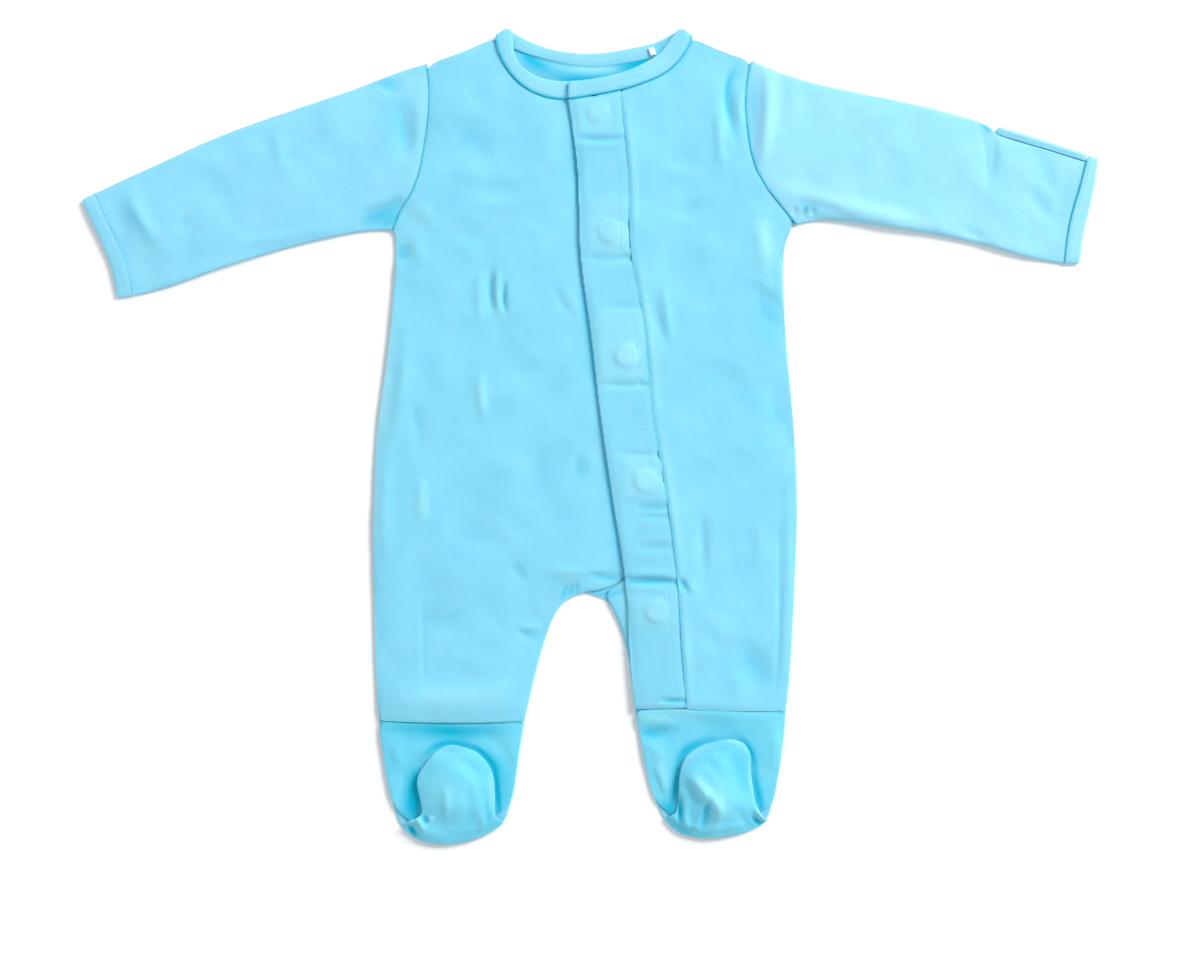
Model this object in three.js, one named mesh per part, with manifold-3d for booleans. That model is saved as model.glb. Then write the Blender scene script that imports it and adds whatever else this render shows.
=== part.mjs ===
// A baby's footed one-piece pajamas, laid flat on its back, in millimetres.
// +X is the wearer's left, +Y is up towards the neck, +Z is out of the front. It lies on z = 0.
// Every cloth piece is a closed wall over a grid of sections, spanned between four edge curves.
import * as THREE from "three";
import Module from "manifold-3d";
import { mergeVertices } from "three/addons/utils/BufferGeometryUtils.js";

const wasm = await Module();
wasm.setup();

// Driving dimensions
const CLOTH = 1.0; // wall of a single layer
const DOUBLED = 1.6; // wall of a folded band or a binding
const LAYER_GAP = 0.3; // air between layers and at seams
const NECK_GAP = 0.6; // seam at the neck, where the curve is tight
const ARMHOLE_GAP = 0.45; // seam at the armhole
const ANKLE_GAP = 0.5; // seam at the ankle
const BINDING_PROUD = 0.6; // how far the neck binding stands above the panel beside it
const CUFF_PROUD = 0.4;
const CROWN_HEIGHT = 1.5; // air left in the middle of each part
const CROWN_REACH = 15;
const FLY_FADE = 22; // how far from the fly its step has died away
const FRONT_TOP = CLOTH + LAYER_GAP + CLOTH; // upper face of the front where it lies on the back
const FLY_RISE = LAYER_GAP + DOUBLED; // the overlap lies this much above the underlap
const UNDERLAP_EASE = 0.5; // the underlap follows half of the crown above it
const MAGNET = { radius: 5.3, height: 1.2, clearance: 0.3, pocketDepth: 1.5, sides: 20 };
const DOME = { radius: 6.3, rise: 0.7, chamfer: 0.5 }; // the low dome of the overlap above each magnet
const POCKET_CHAMFER = 0.1;
const ARMHOLE_ROWS = 8;
const CROTCH_ROW = 26;
const ANKLE_ROW = 32;
const HEEL_ROW = 38;
const SHOULDER_COLUMNS = 4;
const HEEL_TUCK = 7; // the foot upper turns back this far above the heel
const TONGUE_CROWN = 3.6; // how far the sole's middle stands above its edges
const SOLE_RISE = 3.1; // from the heel edge up over the folded upper
const SOLE_RUN = 6;
const SOLE_REACH = 0.35; // how far the sole's edge stands out beyond the upper that is folded inside it
const HEEL_SAMPLES = 24;
const FOOT_FADE = 22; // how far below the ankle seam the leg's swell has died away
const INNER_CROWN = 0.45; // the upper folded inside the sole has this share of the sole's crown
const BINDING_FULLNESS = 0.25;
const FLAP_EDGE_DROP = 0.6; // the mitten flap is rounded down to this below the front at its edges
const PIN_REACH = 20; // an edge curve is moved onto its corners over a twentieth of its length
const AQUA = { color: 0x8de1f8, roughness: 0.9, metalness: 0 };
const MAGNET_FINISH = { color: 0xd8f4fb, roughness: 0.5, metalness: 0.1 };
const RIBBON = { color: 0xe9f3fa, roughness: 0.7, metalness: 0 };

// A table's rows as objects named by its columns
function table(names, rows) {
  return rows.map((row) => Object.fromEntries(row.map((value, index) => [names[index], value])));
}

// Seams down the body. Each row number is one section across the garment: 0 at the neck, 8 at the armpit,
// 26 at the crotch, 32 at the ankle seam and 38 at the heel.
const SEAM = ["row", "x", "y"];
const RIGHT_SIDE = table(SEAM, [
  [8, -107.9, 113.1],
  [9, -106.2, 106],
  [10, -106.8, 95],
  [14, -110.8, 49.5],
  [18, -117, 4],
  [22, -119.1, -41.5],
  [26, -118.6, -87],
  [29, -117.8, -121],
  [32, -115.9, -155.5],
  [34, -113.6, -174.5],
  [36, -110.4, -194],
  [38, -104.6, -213.2],
]);
const LEFT_SIDE = table(SEAM, [
  [8, 113.4, 116.2],
  [9, 107.6, 107.5],
  [10, 106.5, 95],
  [14, 108.4, 50],
  [18, 112.5, 4.5],
  [22, 114.2, -40],
  [26, 112.6, -85],
  [29, 111, -118],
  [32, 108.3, -150.5],
  [34, 106.2, -171],
  [36, 103.2, -190],
  [38, 98.4, -211.3],
]);
const BACK_CENTRE = table(SEAM, [
  [0, 3, 203.2],
  [8, 1.5, 118],
  [16, -1.5, 25],
  [22, -3.5, -45],
  [26, -4.5, -85],
]);
const RIGHT_INSEAM = table(SEAM, [
  [26, -4.5, -85],
  [27, -11, -87.2],
  [28, -16.5, -93],
  [29, -21.5, -102.5],
  [30, -26, -116],
  [31, -31.1, -136],
  [32, -35.4, -156],
  [34, -38.8, -175.5],
  [36, -41.2, -194],
  [38, -46.2, -212.2],
]);
const LEFT_INSEAM = table(SEAM, [
  [26, -4.5, -85],
  [27, 4.5, -86.6],
  [28, 10.2, -90.4],
  [29, 15.7, -101],
  [30, 20.4, -117],
  [31, 22.6, -132],
  [32, 24.6, -149],
  [34, 28.6, -170],
  [36, 33, -191.5],
  [38, 40.2, -209.2],
]);
// The right front's inner edge, hidden under the fly down to the crotch and then the inside of the right leg
const UNDERLAP_SEAM = table(SEAM, [
  [0, -5.4, 185.9],
  [4, -0.8, 148],
  [8, 0.9, 108],
  [12, 6.7, 62],
  [16, 11.6, 14],
  [20, 18.2, -30],
  [23, 23.1, -60],
  [24, 24.6, -72.5],
  [25, 16, -80.9],
  [26, 6, -85],
  [27, -4.5, -85],
  [28, -14.6, -90.6],
  [29, -20.5, -100.2],
  [30, -26, -116],
  [31, -31.1, -136],
  [32, -35.4, -156],
]);
// The fly's stitched line and its free edge
const STITCHED_LINE = table(SEAM, [
  [0, 16.8, 190.2],
  [4, 21.4, 146],
  [8, 22.6, 103],
  [12, 30.2, 60],
  [16, 35, 10],
  [20, 43, -38],
  [24, 48.6, -84],
  [28, 50.6, -118],
  [32, 53.5, -148.4],
]);
const OVERLAP_EDGE = table(SEAM, [
  [0, -11.8, 185.1],
  [4, -6.8, 146],
  [8, -5.2, 100],
  [12, 0.3, 58],
  [16, 6, 10],
  [20, 13, -38],
  [24, 20, -84],
  [26, 20.9, -100],
  [28, 22, -118],
  [30, 23.2, -133],
  [32, 24.8, -149],
]);
// The underlap band, from the neck to the left ankle, with its own sections
const UNDERLAP_ROWS = 33;
const UNDERLAP_INNER = table(SEAM, [
  [0, -5, 186.3],
  [4, -0.4, 148],
  [8, 1.3, 108],
  [12, 7.1, 62],
  [16, 12, 14],
  [20, 18.6, -30],
  [23, 23.5, -60],
  [24, 25.1, -73],
  [25, 16.4, -81.5],
  [26, 7.4, -86.6],
  [27, 10.4, -90.6],
  [28, 15.9, -101],
  [30, 20.6, -117],
  [33, 24.6, -146.6],
]);
const UNDERLAP_OUTER = table(SEAM, [
  [0, 14.6, 189],
  [4, 19.4, 146],
  [8, 20.6, 103],
  [12, 28.2, 60],
  [16, 33, 10],
  [20, 40, -34],
  [24, 45.4, -72],
  [27, 47, -91],
  [30, 48.6, -118],
  [33, 51, -146.6],
]);

const POINT = ["x", "y"];
const RIGHT_SHOULDER = table(POINT, [
  [-89.4, 204.8],
  [-76.7, 208.9],
  [-65.7, 213],
  [-51.6, 219.9],
]);
const LEFT_SHOULDER = table(POINT, [
  [57.1, 219.1],
  [66, 214.8],
  [77, 210.4],
  [88.8, 206.5],
]);
const RIGHT_ARMHOLE = table(POINT, [
  [-89.4, 204.8],
  [-87.7, 192.8],
  [-87.8, 178],
  [-90, 162],
  [-94.5, 139.5],
  [-99.5, 129.5],
  [-105.1, 121.5],
  [-107.9, 113.1],
]);
const LEFT_ARMHOLE = table(POINT, [
  [88.8, 206.5],
  [86.1, 193.9],
  [85.5, 180.7],
  [87.2, 164.7],
  [89.4, 151.5],
  [94.9, 139.4],
  [102.6, 129.5],
  [113.4, 116.2],
]);
// Neck bindings: the edge sewn to the panels and the free edge, a row for each section
const BINDING = ["sewnX", "sewnY", "freeX", "freeY", "lift"];
const FRONT_NECK = table(BINDING, [
  [-50.9, 220.4, -42.2, 222.6, 1.0],
  [-49.3, 210.6, -41.4, 210.8, 0.6],
  [-45.7, 203, -38, 204, 0.3],
  [-39.9, 195.6, -33.4, 200.2, 0.1],
  [-32.7, 190, -28, 197.2, 0],
  [-23.4, 186.4, -20.8, 195.4, 0],
  [-12, 185.1, -12, 194.9, 0],
  [-1.4, 186.7, -2.6, 195.4, 0],
  [11.3, 188.9, 9, 197.3, 0],
  [23.9, 192.2, 20.4, 200.2, 0],
  [36.6, 196.9, 31, 205.3, 0.1],
  [45.4, 202.6, 38.4, 210, 0.3],
  [51.8, 210, 42.6, 215.6, 0.6],
  [56.3, 219.6, 47.6, 222.6, 1.0],
]);
const BACK_NECK = table(BINDING, [
  [-50.9, 220.2, -44.8, 223.9, 0],
  [-45, 214.9, -39.4, 220.4, 0],
  [-35, 210.8, -30.5, 216, 0],
  [-21, 206.8, -18.4, 212.1, 0],
  [-9, 204.3, -8, 210.8, 0],
  [3, 203.6, 3, 210.4, 0],
  [13.6, 204.5, 14, 211.6, 0],
  [24.5, 206.2, 25, 213.8, 0],
  [36.5, 209, 36.6, 216.4, 0],
  [46.5, 212.9, 44, 220.4, 0],
  [56.3, 219.4, 50.2, 223.9, 0],
]);
const FRONT_NECK_EDGE_ROW = 6; // the overlap's edge crosses the front neck here
const FRONT_NECK_STITCH_ROW = 8.44; // and its stitched line here
const NECK_ROW_GAP = 0.03; // a seam's gap, as a share of a neck section
const UNDERLAP_NECK_ROW = 6.62; // the underlap's two edges at the neck
const UNDERLAP_NECK_END = 8.3;
const BACK_NECK_CENTRE_ROW = 5;
const NECK_APEXES = { right: { x: -45.4, y: 224.3 }, left: { x: 51, y: 224.2 } };

// Sleeves: the folded upper edge and the underarm edge, a row for each section
const SLEEVE = ["upperX", "upperY", "underX", "underY"];
const RIGHT_SLEEVE = table(SLEEVE, [
  [-89.4, 204.8, -107.9, 113.1],
  [-104, 200.5, -120, 113],
  [-127, 191.4, -137, 110.4],
  [-155, 182, -160, 105],
  [-182, 172.8, -183, 98.5],
  [-208, 163, -206, 91.2],
  [-232, 151.8, -226, 83.6],
  [-253, 142.3, -240, 79.4],
  [-270.5, 134, -249.8, 77.4],
]);
const LEFT_SLEEVE = table(SLEEVE, [
  [88.8, 206.5, 113.4, 116.2],
  [104.5, 199.8, 124, 118.6],
  [126.8, 193.3, 139, 118.1],
  [153, 187.8, 160, 115.2],
  [179.6, 182.3, 182, 112.1],
  [203.8, 176.1, 204, 107.9],
  [219.5, 170.4, 217, 104.9],
  [222.8, 166.2, 221, 103.8],
  [247, 158.9, 240, 98.2],
  [272.2, 151, 260.2, 94.7],
]);
// Cuffs: the line where the binding is sewn on and its outer edge, a row for each section
const CUFF = ["sewnX", "sewnY", "edgeX", "edgeY"];
const RIGHT_CUFF = table(CUFF, [
  [-270.9, 134, -279.1, 130.2],
  [-264.8, 119.6, -273, 116.5],
  [-257.7, 105.9, -267.6, 105.5],
  [-252.7, 91.6, -262.6, 93],
  [-250.2, 77.2, -259.4, 75.8],
]);
const LEFT_CUFF = table(CUFF, [
  [273.6, 154.6, 279.5, 152.9],
  [269.8, 139.4, 277.5, 138.3],
  [265.4, 124.6, 274.7, 124.6],
  [262.6, 111.4, 271.4, 111],
  [260.6, 94.6, 269.2, 94.4],
]);
const MITTEN_FLAP = table(["innerX", "innerY", "outerX", "outerY"], [
  [223.4, 166.7, 224.2, 170.2],
  [247.3, 159.5, 248.6, 162.6],
  [272.7, 151.6, 273, 154.6],
]);

// Feet: heel edge, then the tongue of the turned-up sole from its base to the toe
const RIGHT_HEEL = table(POINT, [
  [-104.6, -213.2],
  [-98.6, -219.6],
  [-90.5, -223],
  [-80, -224.5],
  [-68.5, -222.8],
  [-57, -219.2],
  [-46.2, -212.2],
]);
const LEFT_HEEL = table(POINT, [
  [40.2, -209.2],
  [47.5, -217.4],
  [58, -220.4],
  [68, -220.6],
  [78, -219.4],
  [88.5, -216.6],
  [98.4, -211.3],
]);
const TONGUE = ["leftX", "leftY", "rightX", "rightY"];
const RIGHT_TONGUE = table(TONGUE, [
  [-91.6, -207.6, -51.8, -207.8],
  [-92.8, -199, -51.8, -200.8],
  [-94.8, -188, -52, -192.4],
  [-89.8, -179.8, -53, -185],
  [-84.2, -173.4, -57.2, -177.6],
  [-79.4, -170.2, -63, -172.6],
]);
const LEFT_TONGUE = table(TONGUE, [
  [47.6, -206.8, 93.5, -206.8],
  [49, -198.3, 90.8, -200.5],
  [49.1, -190.5, 89.4, -192],
  [50, -182.4, 88.2, -183],
  [54, -174.4, 88.4, -174.8],
  [63, -169, 84.2, -168],
]);
// The left ankle seam, under the end of the fly and the left front
const LEFT_ANKLE = table(POINT, [
  [24.6, -149],
  [39, -148.7],
  [53.5, -148.4],
  [67, -149.5],
  [81, -150.2],
  [95, -150.5],
  [108.3, -150.5],
]);
const SOLE_POINTS = {
  right: { heelLeft: { x: -98.6, y: -210.4 }, heelRight: { x: -49, y: -210 }, toe: { x: -75, y: -168.8 } },
  left: { heelLeft: { x: 43.6, y: -208 }, heelRight: { x: 96.2, y: -209 }, toe: { x: 77, y: -165.8 } },
};

// The largest folds: ridges stand up, troughs have a negative height
const FOLDS = table(["x1", "y1", "x2", "y2", "width", "height"], [
  [-102, 53, -103, 15, 8, 0.9],
  [-103, 15, -110, -80, 8, 0.8],
  [-56, 92, -52, 62, 7, -0.9],
  [-45, 90, -44, 66, 7, 0.8],
  [-104, 190, -98, 166, 10, -0.8],
  [-120, 131, -109, 118, 9, -0.9],
  [81, 200, 82, 168, 7, -0.8],
  [72, 180, 74, 148, 8, 0.8],
  [101, 196, 107, 150, 9, 1.0],
  [104, 136, 143, 126, 9, 1.1],
  [143, 126, 193, 118, 9, 1.2],
  [193, 118, 230, 105, 9, 0.9],
  [214, 164, 222, 142, 8, -0.9],
  [238, 136, 252, 114, 9, -0.7],
  [-258, 132, -245, 97, 7, -0.7],
  [-249, 134, -234, 105, 8, 0.8],
  [-172, 168, -165, 141, 9, 0.6],
  [-108, -147, -44, -148, 7, 1.4],
  [32, -143, 100, -144, 7, 0.6],
  [-91, -68, -90, -138, 7, -0.6],
  [97, 74, 106, 58, 9, -0.7],
  [99, 37, 108, 14, 9, -0.7],
  [62, -51, 63, -82, 7, -0.7],
  [81, -51, 88, -90, 8, -0.6],
  [86, -123, 96, -145, 8, -0.6],
  [-41, -105, -24, -108, 6, -0.6],
  [4, -80, 48, -82, 6, -0.7],
]);
const MAGNETS = table(["x", "y"], [
  [4.7, 178.5],
  [10.7, 112.5],
  [20, 44],
  [30.5, -24],
  [37, -96],
]);
const LABEL_TAB = { x: 34.5, y: 211.4, z: 2.6, width: 3.2, length: 4.4, height: 1.0, turn: 20 };

// Curves. Each is a function of one number that returns a point in the plane.
function splineOf(points) {
  const places = points.map(({ x, y }) => new THREE.Vector3(x, y, 0));
  return new THREE.CatmullRomCurve3(places, false, "centripetal");
}

function byLength(points) {
  const spline = splineOf(points);
  return (share) => spline.getPointAt(THREE.MathUtils.clamp(share, 0, 1));
}

function byRow(rows) {
  const spline = splineOf(rows);
  const last = rows.length - 1;
  return (row) => {
    let index = 0;
    while (index < last - 1 && rows[index + 1].row < row) index += 1;
    const span = rows[index + 1].row - rows[index].row;
    return spline.getPoint(THREE.MathUtils.clamp((index + (row - rows[index].row) / span) / last, 0, 1));
  };
}

function byIndex(rows, xName, yName) {
  const spline = splineOf(rows.map((row) => ({ x: row[xName], y: row[yName] })));
  return (index) => spline.getPoint(THREE.MathUtils.clamp(index / (rows.length - 1), 0, 1));
}

function samples(curve, from, to, count) {
  return Array.from({ length: count + 1 }, (_, index) => curve(from + ((to - from) * index) / count));
}

function smooth(value) {
  return THREE.MathUtils.smoothstep(value, 0, 1);
}

const rightArmhole = byLength(RIGHT_ARMHOLE);
const leftArmhole = byLength(LEFT_ARMHOLE);
const rightFlank = byRow(RIGHT_SIDE);
const leftFlank = byRow(LEFT_SIDE);
const rightSide = (row) => (row <= ARMHOLE_ROWS ? rightArmhole(row / ARMHOLE_ROWS) : rightFlank(row));
const leftSide = (row) => (row <= ARMHOLE_ROWS ? leftArmhole(row / ARMHOLE_ROWS) : leftFlank(row));
const backCentre = byRow(BACK_CENTRE);
const rightInseam = byRow(RIGHT_INSEAM);
const leftInseam = byRow(LEFT_INSEAM);
const rightBackInner = (row) => (row <= CROTCH_ROW ? backCentre(row) : rightInseam(row));
const leftBackInner = (row) => (row <= CROTCH_ROW ? backCentre(row) : leftInseam(row));
const stitchedLine = byRow(STITCHED_LINE);
const overlapEdge = byRow(OVERLAP_EDGE);
const frontNeckSewn = byIndex(FRONT_NECK, "sewnX", "sewnY");
const frontNeckFree = byIndex(FRONT_NECK, "freeX", "freeY");
const backNeckSewn = byIndex(BACK_NECK, "sewnX", "sewnY");
const backNeckFree = byIndex(BACK_NECK, "freeX", "freeY");

// The panel's side of a neck seam: the sewn line moved away from the binding by the seam's gap
function besideNeck(sewn, free, index) {
  const point = sewn(index);
  const away = point.clone().sub(free(index)).setLength(NECK_GAP);
  return point.add(away);
}

// The whole outline, as points, to tell how far a place is from the nearest folded or sewn edge
const OUTLINE = [
  ...samples(backNeckFree, 0, BACK_NECK.length - 1, 20),
  ...samples(byLength(LEFT_SHOULDER), 0, 1, 6),
  ...samples(byIndex(LEFT_SLEEVE, "upperX", "upperY"), 0, LEFT_SLEEVE.length - 1, 36),
  ...samples(byIndex(LEFT_CUFF, "edgeX", "edgeY"), 0, LEFT_CUFF.length - 1, 10),
  ...samples(byIndex(LEFT_SLEEVE, "underX", "underY"), LEFT_SLEEVE.length - 1, 0, 30),
  ...samples(leftFlank, ARMHOLE_ROWS, HEEL_ROW, 60),
  ...samples(byLength(LEFT_HEEL), 1, 0, 16),
  ...samples(leftInseam, HEEL_ROW, CROTCH_ROW, 30),
  ...samples(rightInseam, CROTCH_ROW, HEEL_ROW, 30),
  ...samples(byLength(RIGHT_HEEL), 1, 0, 16),
  ...samples(rightFlank, HEEL_ROW, ARMHOLE_ROWS, 60),
  ...samples(byIndex(RIGHT_SLEEVE, "underX", "underY"), 0, RIGHT_SLEEVE.length - 1, 30),
  ...samples(byIndex(RIGHT_CUFF, "edgeX", "edgeY"), RIGHT_CUFF.length - 1, 0, 10),
  ...samples(byIndex(RIGHT_SLEEVE, "upperX", "upperY"), RIGHT_SLEEVE.length - 1, 0, 36),
  ...samples(byLength(RIGHT_SHOULDER), 0, 1, 6),
];

function distanceToSegment(x, y, start, end) {
  const runX = end.x - start.x;
  const runY = end.y - start.y;
  const square = runX * runX + runY * runY;
  const share = square > 0 ? ((x - start.x) * runX + (y - start.y) * runY) / square : 0;
  const along = THREE.MathUtils.clamp(share, 0, 1);
  return Math.hypot(x - start.x - runX * along, y - start.y - runY * along);
}

function distanceToLine(x, y, line) {
  let nearest = Infinity;
  for (let index = 1; index < line.length; index += 1) {
    nearest = Math.min(nearest, distanceToSegment(x, y, line[index - 1], line[index]));
  }
  return nearest;
}

// How far the upper layer stands above its resting height: the air inside and the largest folds
function swell(x, y) {
  let height = CROWN_HEIGHT * (1 - Math.exp(-distanceToLine(x, y, OUTLINE) / CROWN_REACH));
  for (const fold of FOLDS) {
    const start = { x: fold.x1, y: fold.y1 };
    const end = { x: fold.x2, y: fold.y2 };
    const away = distanceToSegment(x, y, start, end) / fold.width;
    height += fold.height * Math.exp(-away * away);
  }
  return Math.max(height, 0);
}

// The left front is raised beside the fly, because the doubled overlap lies on the underlap there
function flyRise(x, y) {
  let row = 0;
  while (row < ANKLE_ROW && stitchedLine(row + 1).y > y) row += 1;
  const beside = Math.max(x - stitchedLine(row).x, 0) / FLY_FADE;
  return FLY_RISE * Math.exp(-beside * beside);
}

// An edge curve whose ends are moved onto the corners that its neighbours give
function pinned(curve, start, end) {
  const [first, last] = [curve(0), curve(1)];
  return (share) => {
    const near = Math.max(0, 1 - share * PIN_REACH);
    const far = Math.max(0, 1 - (1 - share) * PIN_REACH);
    const { x, y } = curve(share);
    return {
      x: x + near * (start.x - first.x) + far * (end.x - last.x),
      y: y + near * (start.y - first.y) + far * (end.y - last.y),
    };
  };
}

// A grid of plane points spanned between four edge curves, with columns along X and rows down the piece
function span(top, bottom, westEdge, eastEdge) {
  const [northWest, northEast, southWest, southEast] = [top(0), top(1), bottom(0), bottom(1)];
  const left = pinned(westEdge, northWest, southWest);
  const right = pinned(eastEdge, northEast, southEast);
  return (down, across) => {
    const up = 1 - down;
    const back = 1 - across;
    const along = (name) =>
      up * top(across)[name] +
      down * bottom(across)[name] +
      back * left(down)[name] +
      across * right(down)[name] -
      up * (back * northWest[name] + across * northEast[name]) -
      down * (back * southWest[name] + across * southEast[name]);
    return { x: along("x"), y: along("y") };
  };
}

function grid(plane, rows, columns, heightAt) {
  return Array.from({ length: rows + 1 }, (_, row) =>
    Array.from({ length: columns + 1 }, (__, column) => {
      const { x, y } = plane(row / rows, column / columns);
      return new THREE.Vector3(x, y, heightAt(x, y, row / rows, column / columns));
    }),
  );
}

function straight(start, end, sag = 0) {
  return (share) => ({
    x: start.x + (end.x - start.x) * share,
    y: start.y + (end.y - start.y) * share - 4 * sag * share * (1 - share),
  });
}

// Builds an indexed mesh and turns it the right way out
function geometryOf(points, triangles) {
  let volume = 0;
  for (const [a, b, c] of triangles) {
    volume += points[a].dot(new THREE.Vector3().crossVectors(points[b], points[c]));
  }
  const outward = volume > 0 ? triangles : triangles.map(([a, b, c]) => [a, c, b]);
  const geometry = new THREE.BufferGeometry();
  const positions = points.flatMap(({ x, y, z }) => [x, y, z]);
  geometry.setAttribute("position", new THREE.Float32BufferAttribute(positions, 3));
  geometry.setIndex(outward.flat());
  return geometry;
}

// Closes one or more grids of face points into a wall. Grids that share edge points are joined there.
// inner(point, normal) gives the matching point on the wall's other face.
function wall(grids, inner) {
  const points = [];
  const known = new Map();
  const indexOf = (point) => {
    const key = [point.x, point.y, point.z].map((value) => value.toFixed(3)).join(" ");
    if (!known.has(key)) {
      known.set(key, points.length);
      points.push(point);
    }
    return known.get(key);
  };
  const faces = [];
  for (const rows of grids) {
    for (let row = 1; row < rows.length; row += 1) {
      for (let column = 1; column < rows[row].length; column += 1) {
        const a = indexOf(rows[row - 1][column - 1]);
        const b = indexOf(rows[row][column - 1]);
        const c = indexOf(rows[row][column]);
        const d = indexOf(rows[row - 1][column]);
        faces.push([a, b, c], [a, c, d]);
      }
    }
  }
  const normals = points.map(() => new THREE.Vector3());
  const edges = new Map();
  for (const face of faces) {
    const [a, b, c] = face.map((index) => points[index]);
    const normal = new THREE.Vector3().crossVectors(b.clone().sub(a), c.clone().sub(a));
    face.forEach((index, corner) => {
      normals[index].add(normal);
      edges.set(`${index} ${face[(corner + 1) % 3]}`, [index, face[(corner + 1) % 3]]);
    });
  }
  const count = points.length;
  const others = points.map((point, index) => inner(point, normals[index].normalize()));
  const triangles = [...faces, ...faces.map(([a, b, c]) => [a + count, c + count, b + count])];
  for (const [start, end] of edges.values()) {
    if (!edges.has(`${end} ${start}`)) {
      triangles.push([end, start, start + count], [end, start + count, end + count]);
    }
  }
  return geometryOf([...points, ...others], triangles);
}

// The other face of a wall: straight below for a panel that lies flat, or along the normal where it bends
function below(thickness) {
  return (point) => new THREE.Vector3(point.x, point.y, point.z - thickness);
}

function behind(thickness) {
  return (point, normal) => point.clone().addScaledVector(normal, -thickness);
}

function onSurface(point) {
  return new THREE.Vector3(point.x, point.y, 0);
}

// Closes two sets of rings into the wall of an open tube
function tube(outerRings, innerRings) {
  const around = outerRings[0].length;
  const rings = outerRings.length;
  const points = [...outerRings.flat(), ...innerRings.flat()];
  const shift = rings * around;
  const triangles = [];
  for (let side = 0; side < around; side += 1) {
    const next = (side + 1) % around;
    for (let ring = 1; ring < rings; ring += 1) {
      const a = (ring - 1) * around + side;
      const b = (ring - 1) * around + next;
      const c = ring * around + next;
      const d = ring * around + side;
      triangles.push([a, b, c], [a, c, d]);
      triangles.push([a + shift, c + shift, b + shift], [a + shift, d + shift, c + shift]);
    }
    triangles.push([side, side + shift, next], [next, side + shift, next + shift]);
    const [endSide, endNext] = [(rings - 1) * around + side, (rings - 1) * around + next];
    triangles.push([endSide, endNext, endSide + shift], [endNext, endNext + shift, endSide + shift]);
  }
  return geometryOf(points, triangles);
}

// The section of a tube that lies flat: a fold at each edge and two layers between, all round
const FOLD_PROFILE = table(["outerIn", "outerRise", "innerIn", "innerRise"], [
  [0, 0.5, 1, 0.5],
  [0.7, 0.93, 1.15, 0.56],
]);

function flatRing(plane, down, columns, thickness, wallThickness, topAt) {
  const width = Math.hypot(plane(down, 1).x - plane(down, 0).x, plane(down, 1).y - plane(down, 0).y);
  const outer = [];
  const inner = [];
  const place = (list, share, rise, swellShare) => {
    const { x, y } = plane(down, share);
    const crown = rise > 0.5 ? swellShare * topAt(x, y) : 0;
    list.push(new THREE.Vector3(x, y, thickness * rise + crown));
  };
  const fold = (edge, level, flip) => {
    const { outerIn, outerRise, innerIn, innerRise } = FOLD_PROFILE[level];
    const inset = (share) => (edge === 0 ? share : width - share) / width;
    const rise = (value) => (flip ? 1 - value : value);
    place(outer, inset(outerIn * wallThickness), rise(outerRise), 1);
    place(inner, inset(innerIn * wallThickness), rise(innerRise), 1);
  };
  const layer = (share, upper) => {
    place(outer, share, upper ? 1 : 0, 1);
    place(inner, share, (upper ? thickness - wallThickness : wallThickness) / thickness, upper ? 1 : 0);
  };
  fold(0, 0, false);
  fold(0, 1, false);
  for (let column = 1; column < columns; column += 1) layer(column / columns, true);
  fold(1, 1, false);
  fold(1, 0, false);
  fold(1, 1, true);
  for (let column = columns - 1; column > 0; column -= 1) layer(column / columns, false);
  fold(0, 1, true);
  return { outer, inner };
}

function flatTube(plane, rings, columns, thickness, wallThickness, topAt) {
  const sections = Array.from({ length: rings + 1 }, (_, ring) =>
    flatRing(plane, ring / rings, columns, thickness, wallThickness, topAt),
  );
  return tube(sections.map(({ outer }) => outer), sections.map(({ inner }) => inner));
}

// Boolean cuts
function solidOf(geometry) {
  const merged = mergeVertices(geometry.clone().deleteAttribute("normal").deleteAttribute("uv"), 1e-4);
  const vertProperties = new Float32Array(merged.attributes.position.array);
  const triVerts = new Uint32Array(merged.index.array);
  return new wasm.Manifold(new wasm.Mesh({ numProp: 3, vertProperties, triVerts }));
}

function geometryFrom(solid) {
  const mesh = solid.getMesh();
  const geometry = new THREE.BufferGeometry();
  geometry.setAttribute("position", new THREE.Float32BufferAttribute(mesh.vertProperties, 3));
  geometry.setIndex(new THREE.BufferAttribute(mesh.triVerts, 1));
  return geometry;
}

// A low round disc standing on z = 0, with a chamfered upper rim
function disc(radius, height, chamfer) {
  const profile = [
    new THREE.Vector2(0, 0),
    new THREE.Vector2(radius, 0),
    new THREE.Vector2(radius, height - chamfer),
    new THREE.Vector2(radius - chamfer, height),
    new THREE.Vector2(0, height),
  ];
  return new THREE.LatheGeometry(profile, MAGNET.sides).rotateX(Math.PI / 2);
}

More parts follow.
